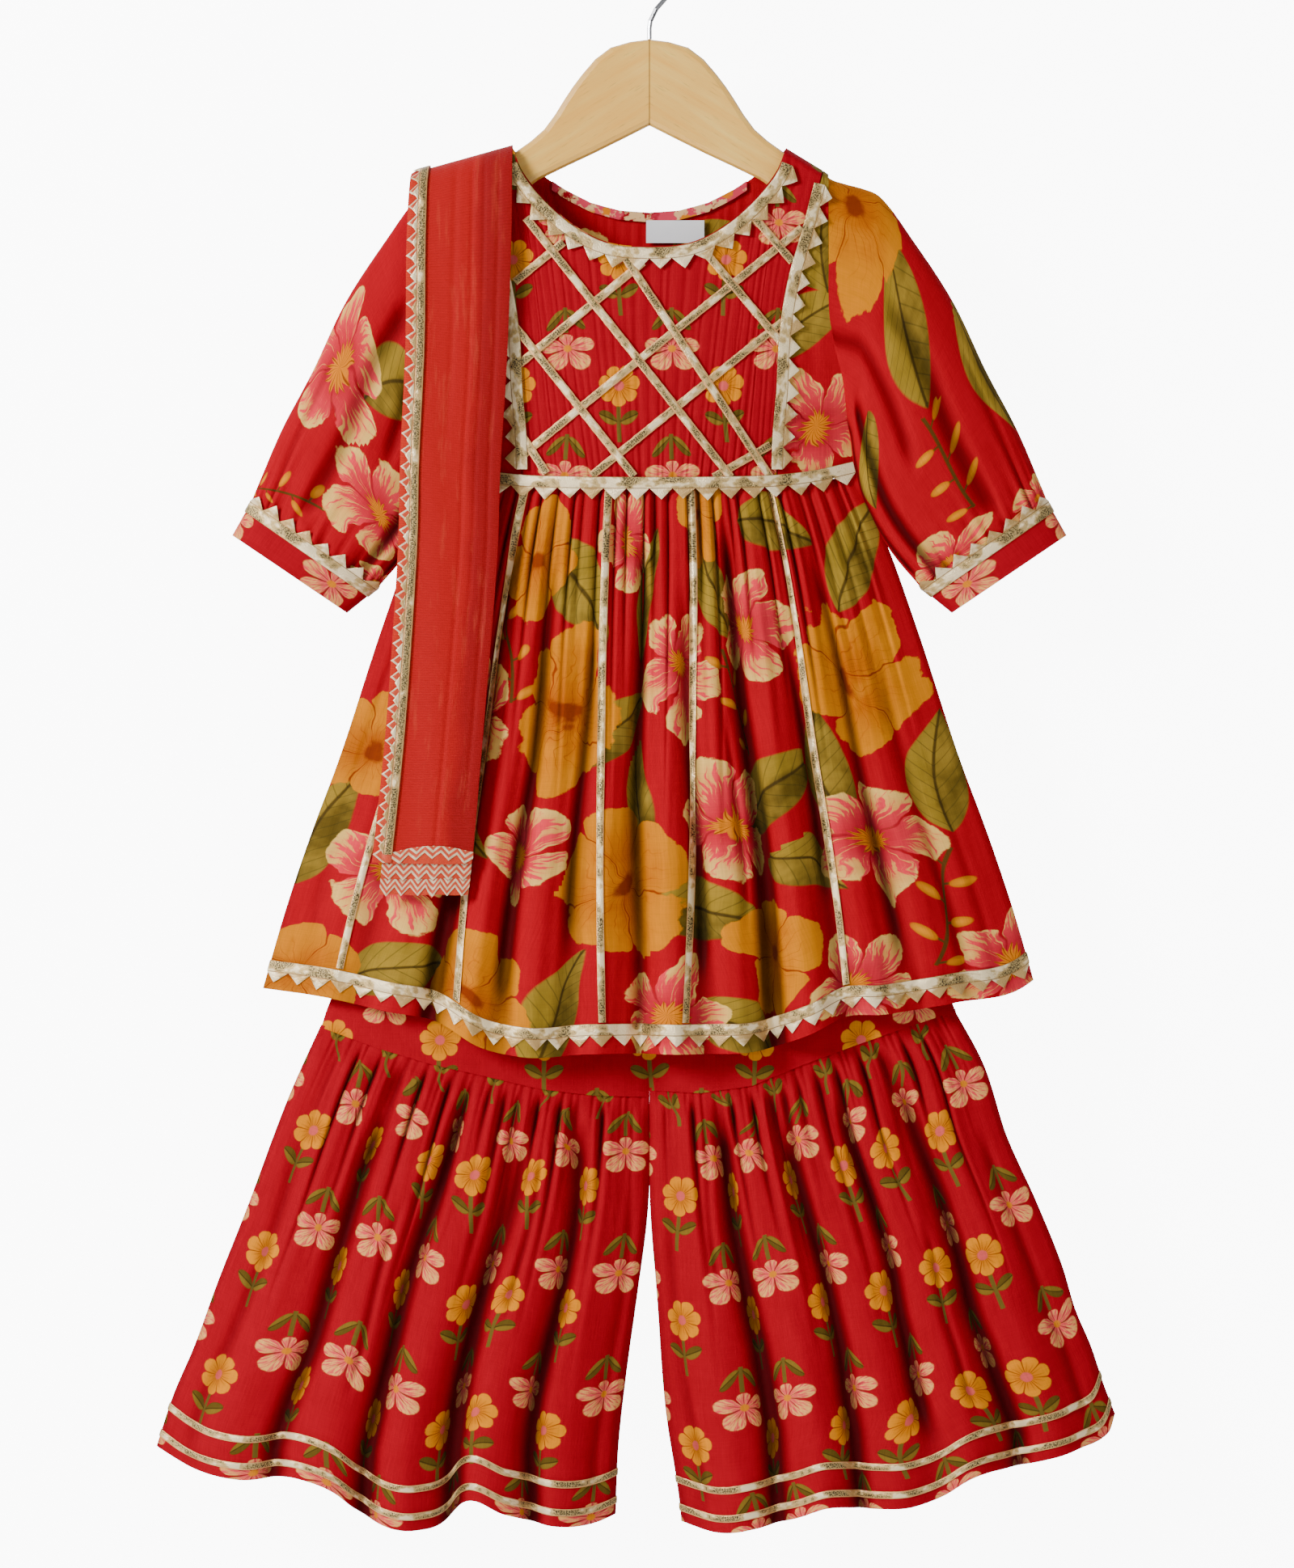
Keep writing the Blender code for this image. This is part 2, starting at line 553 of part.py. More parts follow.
def skirt(name, face, columns, rows):
    """A skirt panel: fine gathers at the waist that run together into broad folds at the hem."""
    sense = -1 if face == "front" else 1
    place = np.linspace(-1, 1, columns + 1)
    hem_place = smooth(SKIRT_DRIFT["top"], SKIRT_DRIFT["hem"], place)
    top_x = place * skirt_edge(-340 * MM)
    top = waist_z(top_x) - SEAM
    hem = smooth(SKIRT_HEM["x"], SKIRT_HEM["z"], hem_place * 238 * MM)
    down = np.concatenate([np.array(rows), [1.0]])[:, None]
    z = mix(top, hem + HEM_STRIP, down)
    z = np.concatenate([z, hem[None, :]])
    share = np.clip((top - z) / (top - hem), 0, 1)
    s = mix(place, hem_place, share)
    x = s * skirt_edge(z)
    flip = 1 if face == "front" else -1
    depth = EDGE_DEPTH + smooth(SKIRT_SECTION["z"], SKIRT_SECTION[face], z) * lens(s)
    gather = np.where(np.arange(columns + 1) % 2 == 1, 1, -1) * spread(columns + 1, 1.7)
    taper = 1 - np.abs(place) ** 6
    fine = mix(WAIST_GATHER, SKIRT_GATHER, np.clip(share / 0.1, 0, 1)) * np.clip(1 - share / 0.55, 0, 1) ** 1.3
    broad = folds_at(SKIRT_FOLDS, flip * s) * np.clip((share - 0.08) / 0.6, 0, 1)
    tuck = WAIST_TUCK * np.clip(1 - share / 0.07, 0, 1)
    depth = depth - tuck + taper * (fine * gather + broad - 2.5 * MM * np.clip(share / 0.5, 0, 1))
    depth = np.maximum(depth, EDGE_DEPTH)
    points = np.stack([x, sense * depth, z], axis=-1)
    return wall(name, points, BLOOM_COTTON, facing=(0, sense, 0))


def hem_lace(name, panel):
    """Toothed lace just above a skirt hem, a tooth for every two columns of the cloth."""
    points, _ = panel
    last = points.shape[0] - 2
    columns = points.shape[1]
    heights = (HEM_MARGIN + GOTA_TOOTH + GOTA_BAND, HEM_MARGIN + GOTA_TOOTH, HEM_MARGIN)
    top, valley, tip = (last + 1 - height / HEM_STRIP for height in heights)
    rows = np.stack([np.full(columns, top), toothed_edge(columns, valley, tip)])
    sense = np.sign(points[..., 1].mean())
    wall(name, part_way(panel, rows, np.arange(columns)[None, :], LOW_LIFT), GOTA_LACE,
         GOTA_THICKNESS, 1, (0, sense, 0))


def skirt_tape(name, panel, place):
    """A tape down the skirt along one of the cloth's own columns."""
    points, _ = panel
    rows, columns = points.shape[:2]
    column = round((place + 1) / 2 * (columns - 1))
    stop = rows - 1 - (HEM_MARGIN + GOTA_TOOTH + GOTA_BAND + 1 * MM) / HEM_STRIP
    down = np.concatenate([[0.5], np.arange(1, rows - 1), [stop]])
    widths = np.linalg.norm(points[:, column + 1] - points[:, column], axis=1)
    half = TAPE_WIDTH / 2 / np.interp(down, np.arange(rows), widths)
    across = column + np.stack([-half, np.zeros(len(down)), half])
    wall(name, part_way(panel, down[None, :], across, FOLD_LIFT), GOTA_LACE, TAPE_THICKNESS, 1, (0, -1, 0))


# Kurta: sleeves

def tube(section, side, around, gathers=None, seam_start=False):
    """Rings round the line between the outer and inner points of each row of a section table."""
    turn = np.arange(around) / around * 2 * math.pi
    upper = (1 + np.cos(turn)) / 2
    x = mix(section["inner_x"][:, None], section["outer_x"][:, None], upper)
    z = mix(section["inner_z"][:, None], section["outer_z"][:, None], upper)
    swell = section["depth"][:, None] * np.ones(around)
    if gathers is not None:
        ripple = np.where(np.arange(around) % 2 == 1, 1, -1) * spread(around, 2.3)
        swell = swell + gathers[:, None] * ripple
    y = -np.sin(turn) * swell
    if seam_start:
        x[0] = side_x(z[0]) + ARMHOLE_GAP
        edge = yoke_y(side_x(z[0]), z[0], "back")
        y[0] = -np.sign(np.sin(turn)) * np.where(np.abs(np.sin(turn)) < 0.01, 0, edge)
    return np.stack([side * x, y, z], axis=-1)


def sleeve(name, side, around=20):
    """A puffed sleeve from the armhole to the cuff, gathered at its foot."""
    rows = len(SLEEVE_SECTION["depth"])
    gathers = SLEEVE_GATHER * np.array([0, 0, 0, 0, 0.2, 0.6, 1.0, 0.3])[:rows]
    wall(name, tube(SLEEVE_SECTION, side, around, gathers, seam_start=True), BLOOM_COTTON)


def cuff(name, side, around=16):
    """A straight band that the sleeve is gathered into, with toothed lace over its seam."""
    panel = wall(name, tube(CUFF_SECTION, side, around), SPRIG_COTTON)
    points, normals = panel
    steps = 2 * around
    place = np.arange(steps) / 2
    near = np.floor(place).astype(int)
    after = (near + 1) % around
    share = (place - near)[:, None]
    height = np.linalg.norm(points[0, 0] - points[1, 0])
    rise = (points[0] - points[1]) / np.linalg.norm(points[0] - points[1], axis=1, keepdims=True)

    def ring(values):
        return mix(values[near], values[after], share)

    out = ring(normals[0]) * CUFF_LACE_LIFT
    reach = toothed_edge(steps, SEAM, CUFF_TOOTH)[:, None]
    band = ring(mix(points[0], points[1], GOTA_BAND / height)) + out
    teeth = ring(points[0]) + out + (ring(rise) + ring(normals[0]) * CUFF_LACE_TILT) * reach
    wall(f"gota_{name}", np.stack([teeth, band]), GOTA_LACE, GOTA_THICKNESS, 1)


# Sharara

def waistband():
    """The elasticated band that the legs hang from."""
    turn = (np.arange(24) + 0.5) / 24 * 2 * math.pi
    x = BAND_HALF_WIDTH * np.cos(turn)
    middle_z = (BAND_TOP + BAND_FOOT) / 2
    front, back = (smooth(SKIRT_SECTION["z"], SKIRT_SECTION[face], middle_z) for face in ("front", "back"))
    depth = np.where(np.sin(turn) > 0, front, back) * lens(x / skirt_edge(middle_z))
    ring = np.stack([x, -np.sign(np.sin(turn)) * (EDGE_DEPTH + depth - BAND_CLEARANCE)])
    levels = [np.stack([ring[0], ring[1], np.full(24, z)], axis=-1) for z in (BAND_TOP, BAND_FOOT)]
    wall("sharara_waistband", np.stack(levels), SPRIG_COTTON, thickness=BAND_WALL)


def knee_line(leg, x):
    """Height of the knee seam, in straight parts that both of its panels share."""
    parts = np.linspace(leg["knee"]["x"][0], leg["knee"]["x"][-1], KNEE_PARTS + 1)
    return np.interp(x, parts, smooth(leg["knee"]["x"], leg["knee"]["z"], parts))


def upper(leg_name, face):
    """A plain upper leg panel from the waistband to the knee seam."""
    leg = LEGS[leg_name]
    sense = -1 if face == "front" else 1
    across = np.linspace(0, 1, KNEE_PARTS + 1)
    down = np.linspace(0, 1, 7)[:, None]
    knee_x = mix(leg["knee"]["x"][0], leg["knee"]["x"][-1], across)
    knee = knee_line(leg, knee_x) + SEAM
    z = mix(BAND_FOOT - SEAM, knee, down)
    edge = smooth(UPPER_EDGE["z"], UPPER_EDGE["x"], z)
    edge = edge + (leg["knee"]["x"][-1] - 191 * MM) * np.clip((CROTCH - z) / (CROTCH + 670 * MM), 0, 1)
    inner = mix(SEAM / 2, leg["knee"]["x"][0], np.clip((CROTCH - z) / (60 * MM), 0, 1))
    x = mix(inner, edge, across)
    open_front = np.clip((z - CROTCH) / CROTCH_BLEND, 0, 1)
    full = mix(lens(2 * across - 1), lens(across), open_front)
    depth = EDGE_DEPTH + smooth(UPPER_EDGE["z"], UPPER_EDGE[face], z) * full
    x = x + down ** 3 * (knee_x - x[-1])
    points = np.stack([leg["side"] * x, sense * depth, z], axis=-1)
    wall(f"upper_{face}_{leg_name}", points, SPRIG_COTTON, facing=(0, sense, 0))


def flare(leg_name, face, columns, rows):
    """A flare gathered to the knee seam, its fine gathers running together into broad folds."""
    leg = LEGS[leg_name]
    sense = -1 if face == "front" else 1
    place = np.linspace(0, 1, columns + 1)
    knee_x = mix(leg["knee"]["x"][0], leg["knee"]["x"][-1], place)
    knee = knee_line(leg, knee_x) - SEAM
    hem_x = mix(leg["hem"]["x"][0], leg["hem"]["x"][-1], place)
    hem = smooth(leg["hem"]["x"], leg["hem"]["z"], hem_x)
    down = np.concatenate([np.array(rows), [1.0]])[:, None]
    z = np.concatenate([mix(knee, hem + FLARE_STRIP, down), hem[None, :]])
    share = np.clip((knee - z) / (knee - hem), 0, 1)
    inner = smooth(leg["inner"]["z"], leg["inner"]["x"], z)
    outer = smooth(leg["outer"]["z"], leg["outer"]["x"], z)
    x = mix(inner, outer, place)
    s = 2 * place - 1
    full = lens(s) ** 0.8
    gather = np.where(np.arange(columns + 1) % 2 == 1, 1, -1) * spread(columns + 1, 2.1)
    taper = 1 - np.abs(s) ** 8
    fine = KNEE_GATHER * np.clip(1 - share / 0.6, 0, 1) ** 1.2
    fold_place = place if face == "front" else 1 - place
    broad = folds_at(leg["folds"], fold_place) * np.clip((share - 0.05) / 0.7, 0, 1)
    depth = smooth(FLARE_DEPTH["z"], FLARE_DEPTH[face], z) * full
    depth = depth + taper * (fine * gather + broad - 2.0 * MM * share)
    points = np.stack([leg["side"] * x, sense * (EDGE_DEPTH + np.maximum(depth, 0)), z], axis=-1)
    panel = wall(f"flare_{face}_{leg_name}", points, SPRIG_COTTON, facing=(0, sense, 0))
    for level, height in FLARE_TAPE_HEIGHTS.items():
        edges = [columns_row(panel, height + half) for half in (FLARE_TAPE_WIDTH / 2, -FLARE_TAPE_WIDTH / 2)]
        on_cloth = part_way(panel, np.stack(edges), np.arange(columns + 1)[None, :], LOW_LIFT)
        wall(f"tape_{face}_{leg_name}_{level}", on_cloth, GOTA_LACE, TAPE_THICKNESS, 1, (0, sense, 0))


def columns_row(panel, height):
    """The fractional row at a height above the hem, for every column of a flare."""
    points, _ = panel
    return np.full(points.shape[1], points.shape[0] - 1 - height / FLARE_STRIP)


# Dupatta

def dupatta():
    """A length of net folded to a strip, laid over the left shoulder, with lace on its long edge."""
    rows = len(DUPATTA_SECTION["y"])
    station = np.arange(rows, dtype=float)
    fine = np.concatenate([np.linspace(0, 6, 9), np.linspace(6, 10, 9)[1:], np.linspace(10, rows - 1, 4)[1:]])
    section = {key: smooth(station, values, fine) for key, values in DUPATTA_SECTION.items()}
    across = np.linspace(0, 1, 4)
    x = mix(section["left_x"][:, None], section["right_x"][:, None], across)
    z = mix(section["left_z"][:, None], section["right_z"][:, None], across)
    y = section["y"][:, None] * (1 + 0 * across)
    points = np.stack([x, y, z], axis=-1)
    panel = wall("dupatta", points, NET, DUPATTA_WALL, facing=points * (0, 1, 0))
    length = np.concatenate([[0], np.cumsum(np.linalg.norm(np.diff(points[:, 0], axis=0), axis=1))])
    teeth = round(length[-1] / DUPATTA_PITCH / 2) * 2
    place = np.linspace(0, length[-1], 2 * teeth + 1)
    row = np.interp(place, length, np.arange(len(length)))
    width = np.interp(row, np.arange(len(length)), np.linalg.norm(points[:, -1] - points[:, 0], axis=1))
    column = (len(across) - 1) / width
    band = column * (DUPATTA_TOOTH + DUPATTA_BAND)
    tip = toothed_edge(len(row), DUPATTA_TOOTH, 0.4 * MM) * column
    lace = part_way(panel, np.stack([row, row]), np.stack([band, tip]), DUPATTA_LIFT)
    wall("gota_dupatta_edge", lace, GOTA_LACE, GOTA_THICKNESS, 1, lace * (0, 1, 0))
    foot = length[1]
    first = column[0] * (DUPATTA_TOOTH + DUPATTA_BAND + SEAM)
    place = np.linspace(first, len(across) - 1, 2 * DUPATTA_FOOT_TEETH + 1)
    for index, (top, valley, tip, lift) in enumerate(zip(*DUPATTA_FOOT.values())):
        edges = np.stack([np.full(len(place), top), toothed_edge(len(place), valley, tip)]) / foot
        lace = part_way(panel, edges, place[None, :], lift)
        wall(f"gota_dupatta_foot_{index + 1}", lace, GOTA_LACE, GOTA_THICKNESS, 1, (0, -1, 0))


hanger()
hook()
yoke_middle("yoke_front", NECK_FRONT, "front", 18, princess_x)
YOKE_BACK = yoke_middle("yoke_back", NECK_BACK, "back", 14, side_x)
yoke_side("yoke_side_left", -1)
yoke_side("yoke_side_right", 1)
facing_and_label(YOKE_BACK)
trellis()
yoke_lace()
SKIRT_FRONT = skirt("skirt_front", "front", 62, (0, 0.045, 0.14, 0.3, 0.5, 0.75))
SKIRT_BACK = skirt("skirt_back", "back", 44, (0, 0.045, 0.16, 0.4, 0.7))
hem_lace("gota_hem_front", SKIRT_FRONT)
hem_lace("gota_hem_back", SKIRT_BACK)
for tape_name, tape_place in SKIRT_TAPES.items():
    skirt_tape(f"tape_skirt_{tape_name}", SKIRT_FRONT, tape_place)
for side_name, side_sense in (("left", -1), ("right", 1)):
    sleeve(f"sleeve_{side_name}", side_sense)
    cuff(f"cuff_{side_name}", side_sense)
waistband()
for side_name in LEGS:
    for side_face in ("front", "back"):
        upper(side_name, side_face)
    flare(side_name, "front", 26, (0, 0.07, 0.22, 0.48, 0.75))
    flare(side_name, "back", 18, (0, 0.10, 0.35, 0.68))
dupatta()
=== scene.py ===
"""Looks of a child's sharara suit on its hanger: printed cotton, gota ribbon, net, beech and wire.

Metres, +Z up, the front faces -Y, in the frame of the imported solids. Tables hold millimetres.
"""
import math

import bpy
import numpy as np
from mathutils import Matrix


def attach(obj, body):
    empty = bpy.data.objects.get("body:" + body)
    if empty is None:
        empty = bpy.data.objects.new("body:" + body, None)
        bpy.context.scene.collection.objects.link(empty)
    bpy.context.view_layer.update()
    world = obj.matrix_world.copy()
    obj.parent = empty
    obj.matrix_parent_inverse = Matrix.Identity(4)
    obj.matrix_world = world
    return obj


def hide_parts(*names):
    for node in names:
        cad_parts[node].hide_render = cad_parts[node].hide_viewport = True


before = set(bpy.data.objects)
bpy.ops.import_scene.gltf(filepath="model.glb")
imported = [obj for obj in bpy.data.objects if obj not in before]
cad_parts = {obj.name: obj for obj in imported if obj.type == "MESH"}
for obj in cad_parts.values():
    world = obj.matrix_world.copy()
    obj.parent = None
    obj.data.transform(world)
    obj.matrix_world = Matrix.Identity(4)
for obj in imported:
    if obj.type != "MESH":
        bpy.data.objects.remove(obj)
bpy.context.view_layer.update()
MM = 0.001


# Wall, floor, light and camera.
# The suit hangs a little before a white wall, under a broad soft light from the upper left.

CAMERA_PLACE = (-1.5 * MM, -4.0, -529.75 * MM)
CAMERA_LENS = 148.5
WALL_Y = 75 * MM
FLOOR_Z = -1.25


def srgb(code):
    """Linear colour of a hex code such as #c4061d."""
    parts = [int(code[i:i + 2], 16) / 255 for i in (1, 3, 5)]
    linear = [c / 12.92 if c <= 0.04045 else ((c + 0.055) / 1.055) ** 2.4 for c in parts]
    return (*linear, 1.0)


def add(tree, kind, *sources, output=0, **settings):
    """Adds a node and fills its inputs in order with values or links; capitals name a Math operation."""
    node = tree.nodes.new("ShaderNodeMath" if kind.isupper() else "ShaderNode" + kind)
    if kind.isupper():
        node.operation = kind
    for key, value in settings.items():
        setattr(node, key, value)
    shown = [socket for socket in node.inputs if socket.enabled]
    for socket, source in zip(shown, sources):
        if isinstance(source, bpy.types.NodeSocket):
            tree.links.new(source, socket)
        elif source is not None:
            socket.default_value = source
    return [socket for socket in node.outputs if socket.enabled][output]


def finish_of(name, roughness, metallic=0.0, sheen=0.0, coat=0.0, gloss=0.5):
    """A Principled material with its constants set on the shader; returns material, tree and shader."""
    made = bpy.data.materials.new(name)
    made.use_nodes = True
    tree = made.node_tree
    shader = tree.nodes["Principled BSDF"]
    shader.inputs["Roughness"].default_value = roughness
    shader.inputs["Metallic"].default_value = metallic
    shader.inputs["Sheen Weight"].default_value = sheen
    shader.inputs["Sheen Roughness"].default_value = 0.4
    shader.inputs["Coat Weight"].default_value = coat
    shader.inputs["Specular IOR Level"].default_value = gloss
    return made, tree, shader


def plane(name, centre, size, normal_axis):
    """A staged rectangle across Y (a wall) or Z (a floor)."""
    u, v = np.meshgrid([-0.5, 0.5], [-0.5, 0.5])
    flat = np.stack([u.ravel() * size[0], v.ravel() * size[1]], axis=1)
    still = np.zeros(4)
    corners = [flat[:, 0], still, flat[:, 1]] if normal_axis == "Y" else [flat[:, 0], flat[:, 1], still]
    mesh = bpy.data.meshes.new(name)
    mesh.from_pydata((np.stack(corners, axis=1) + centre).tolist(), [], [(0, 1, 3, 2)])
    made = bpy.data.objects.new(name, mesh)
    bpy.context.scene.collection.objects.link(made)
    return made


def wall_paint():
    """Matt white paint that only shows on the side that faces the suit."""
    made, tree, shader = finish_of("white_wall_paint", 0.95)
    grain = add(tree, "TexNoise", None, 3.0, 2.0)
    tone = add(tree, "Mix", grain, srgb("#f4f4f5"), srgb("#f8f8f8"), data_type="RGBA")
    tree.links.new(tone, shader.inputs["Base Color"])
    clear = add(tree, "BsdfTransparent")
    behind = add(tree, "NewGeometry", output=6)
    shader.inputs["Emission Color"].default_value = srgb("#ffffff")
    tree.links.new(add(tree, "MULTIPLY", add(tree, "LightPath"), 9.0), shader.inputs["Emission Strength"])
    both = add(tree, "MixShader", behind, shader.outputs[0], clear)
    tree.links.new(both, tree.nodes["Material Output"].inputs["Surface"])
    return made


def area_light(name, place, aim, size, watts):
    """A square soft light that looks at a point."""
    lamp = bpy.data.lights.new(name, "AREA")
    lamp.size = size
    lamp.energy = watts
    made = bpy.data.objects.new(name, lamp)
    bpy.context.scene.collection.objects.link(made)
    made.location = place
    way = np.array(aim, float) - np.array(place, float)
    made.rotation_euler = (math.acos(-way[2] / np.linalg.norm(way)), 0, math.atan2(way[1], way[0]) - math.pi / 2)


wall_back = plane("wall", (0, WALL_Y, -0.5), (6, 4), "Y")
wall_back.data.materials.append(wall_paint())
floor = plane("floor", (0, WALL_Y - 3, FLOOR_Z), (6, 6), "Z")
floor_paint, floor_tree, floor_shader = finish_of("pale_floor", 0.9)
floor_tone = add(floor_tree, "Mix", add(floor_tree, "TexNoise", None, 2.0), srgb("#ececec"), srgb("#f2f2f2"),
                 data_type="RGBA")
floor_tree.links.new(floor_tone, floor_shader.inputs["Base Color"])
floor.data.materials.append(floor_paint)
area_light("key_light", (-2.3, -2.2, 0.7), (0, 0, -0.5), 1.1, 138)
area_light("fill_light", (1.6, -3.2, 0.4), (0, 0, -0.5), 2.2, 15)
sky = bpy.data.worlds.new("studio")
sky.use_nodes = True
# Pale and darker patches all round, as the umbrellas and flags of a studio, which the metal ribbon reflects
patches = add(sky.node_tree, "TexNoise", add(sky.node_tree, "TexCoord"), 2.2, 2.0)
glow = add(sky.node_tree, "MapRange", patches, 0.40, 0.60, 0.06, 0.50)
sky.node_tree.links.new(glow, sky.node_tree.nodes["Background"].inputs[1])
sky.node_tree.nodes["Background"].inputs[0].default_value = srgb("#ffffff")
bpy.context.scene.world = sky

camera_data = bpy.data.cameras.new("camera")
camera_data.sensor_width = 36
camera_data.lens = CAMERA_LENS
camera = bpy.data.objects.new("camera", camera_data)
bpy.context.scene.collection.objects.link(camera)
camera.location = CAMERA_PLACE
camera.rotation_euler = (math.pi / 2, 0, 0)
bpy.context.scene.camera = camera


# Hanger.
# Two halves of pale beech glued at a mitre on the centre line and varnished,
# with a chromed wire hook screwed into the crown. Both keep their solids.

def beech():
    """Varnished beech: rings run along each arm, mirrored at the glue line, with short flecks."""
    made, tree, shader = finish_of("varnished_beech", 0.36, coat=0.25)
    place = add(tree, "TexCoord", output=3)
    x = add(tree, "SeparateXYZ", place)
    z = add(tree, "SeparateXYZ", place, output=2)
    away = add(tree, "ABSOLUTE", x)
    across = add(tree, "MULTIPLY_ADD", away, 0.62, z)
    along = add(tree, "SUBTRACT", away, z)
    way = add(tree, "CombineXYZ", add(tree, "MULTIPLY", across, 150.0), add(tree, "MULTIPLY", along, 9.0), 0.0)
    rings = add(tree, "TexNoise", way, 1.0, 4.0, 0.6)
    flecks = add(tree, "TexNoise", add(tree, "CombineXYZ", add(tree, "MULTIPLY", across, 900.0),
                                       add(tree, "MULTIPLY", along, 60.0), 0.0), 1.0, 2.0)
    broad = add(tree, "TexNoise", place, 14.0, 2.0)
    tone = add(tree, "Mix", add(tree, "MapRange", rings, 0.3, 0.7, 0.0, 1.0), srgb("#fab84c"), srgb("#ffd26a"),
               data_type="RGBA")
    tone = add(tree, "Mix", add(tree, "MapRange", broad, 0.35, 0.7, 0.0, 0.5), tone, srgb("#eca83e"), data_type="RGBA")
    tone = add(tree, "Mix", add(tree, "MapRange", flecks, 0.62, 0.75, 0.0, 0.35), tone, srgb("#8a4c16"),
               data_type="RGBA")
    glue = add(tree, "MapRange", away, 0.00025, 0.0006, 0.7, 0.0)
    tone = add(tree, "Mix", glue, tone, srgb("#7e4816"), data_type="RGBA")
    tree.links.new(tone, shader.inputs["Base Color"])
    bump = add(tree, "Bump", 0.15, 0.0003, None, rings)
    tree.links.new(bump, shader.inputs["Normal"])
    return made


def chromed_wire():
    """Bright plated steel with faint drawing marks along the wire."""
    made, tree, shader = finish_of("chromed_wire", 0.16, metallic=1.0)
    place = add(tree, "TexCoord", output=3)
    marks = add(tree, "TexNoise", place, 900.0, 2.0)
    tone = add(tree, "Mix", marks, srgb("#7c7d82"), srgb("#c9cace"), data_type="RGBA")
    tree.links.new(tone, shader.inputs["Base Color"])
    tree.links.new(add(tree, "Bump", 0.1, 0.0001, None, marks), shader.inputs["Normal"])
    return made


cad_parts["hanger_bar"].material_slots[0].material = beech()
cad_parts["hanger_hook"].material_slots[0].material = chromed_wire()


# Kurta skirt.
# Two panels of red cotton lawn with a large printed garden, cut as rectangles and gathered
# into the waist seam: close gathers at the top run together into broad uneven folds.

PANEL_EDGE = 1.5 * MM
SEAM_EDGE = 0.2 * MM
WAIST_LINE = {"x": (0, 48, 78, 103, 128), "z": (-348, -347.5, -346.3, -343, -337)}
SKIRT_SECTION = {"z": (-720, -656, -606, -554.5, -520, -435, -387, -357, -337),
                 "half_width": (257, 239, 224.5, 207, 194, 166, 149, 136.5, 127.5),
                 "front": (29, 28, 27, 26, 25, 24, 23, 21.5, 20),
                 "back": (25, 24, 23, 22, 21, 20, 19, 17.5, 16)}
SKIRT_HEM = {"x": (-238, -197, -162, -125, -98, -72, -34, 0, 32, 62, 95, 119, 140, 162, 186, 229, 238),
             "z": (-656, -661.5, -669, -677, -692, -697.5, -695.5, -695.5, -695.5, -694, -683.5, -672.5,
                   -671.5, -668.5, -664.5, -656, -651)}
SKIRT_DRIFT = {"top": (-1, -0.82, -0.58, -0.19, 0.19, 0.56, 1),
               "hem": (-1, -0.81, -0.485, -0.115, 0.083, 0.505, 1)}
# Ridges of the broad folds: place across the hem, width, depth in mm
SKIRT_RIDGES = {"at": (-0.84, -0.66, -0.45, -0.30, -0.13, 0.06, 0.22, 0.41, 0.58, 0.75, 0.88),
                "width": (0.055, 0.07, 0.05, 0.06, 0.05, 0.05, 0.06, 0.055, 0.06, 0.06, 0.045),
                "depth": (4.5, 7.5, 9.0, 8.5, 7.0, 9.0, 7.5, 9.5, 7.5, 6.5, 4.0)}
# Narrow creases between them: place, width, depth in mm, and the shares of the drop where they start and end
SKIRT_CREASES = {"at": (-0.93, -0.74, -0.55, -0.37, -0.21, -0.03, 0.135, 0.32, 0.50, 0.67, 0.82, -0.60, 0.26, 0.9),
                 "width": (0.016, 0.02, 0.026, 0.022, 0.018, 0.026, 0.02, 0.026, 0.018, 0.02, 0.018, 0.012, 0.012, 0.015),
                 "depth": (2.5, 4.5, 8.6, 6.0, 4.2, 9.0, 5.0, 9.2, 4.8, 4.6, 3.0, 2.6, 2.4, 2.6),
                 "start": (0.3, 0.12, 0.05, 0.1, 0.2, 0.05, 0.15, 0.03, 0.2, 0.1, 0.3, 0.2, 0.35, 0.45),
                 "end": (0.9, 0.8, 1.1, 0.95, 0.85, 1.1, 0.9, 1.1, 0.8, 0.95, 1.0, 0.7, 0.8, 1.0)}
SKIRT_GATHERS = {"front": 31, "back": 24}
WAIST_GATHER = 2.6 * MM
SKIRT_GATHER = 4.8 * MM


def column(values, scale=MM):
    """One column of a table as an array, in metres unless told otherwise."""
    return np.array(values, float) * scale


def mix(a, b, f):
    """The value a share f of the way from a to b."""
    return a + (b - a) * f


def smooth(places, values, at):
    """A cubic through rows of values, with slopes from the neighbouring rows."""
    places, values = np.asarray(places, float), np.asarray(values, float)
    if places[0] > places[-1]:
        places, values = places[::-1], values[::-1]
    at = np.clip(at, places[0], places[-1])
    slopes = np.gradient(values, places, axis=0)
    row = np.clip(np.searchsorted(places, at, side="right") - 1, 0, len(places) - 2)
    span = places[row + 1] - places[row]
    f = (at - places[row]) / span
    extra = values.ndim - 1
    f = f.reshape(f.shape + (1,) * extra) if extra else f
    span = span.reshape(span.shape + (1,) * extra) if extra else span
    start = (1 + 2 * f) * (1 - f) ** 2 * values[row] + f * (1 - f) ** 2 * span * slopes[row]
    return start + f * f * (3 - 2 * f) * values[row + 1] - f * f * (1 - f) * span * slopes[row + 1]


def lens(s):
    """Fullness across a panel: 1 in the middle, 0 at its edges."""
    return 1 - np.abs(np.clip(s, -1, 1)) ** 2.5


def wobble(x, seed):
    """An uneven wave between about -1 and 1: three sines whose lengths don't match."""
    return (np.sin(x + seed) + np.sin(1.73 * x + 2.1 * seed) + np.sin(0.61 * x + 3.7 * seed)) / 2.4


def hump(x, start, end, blend=0.12):
    """1 between two shares of the drop and 0 outside, with soft ends."""
    rise = np.clip((x - start) / blend, 0, 1)
    fall = np.clip((end - x) / blend, 0, 1)
    return rise * rise * (3 - 2 * rise) * fall * fall * (3 - 2 * fall)


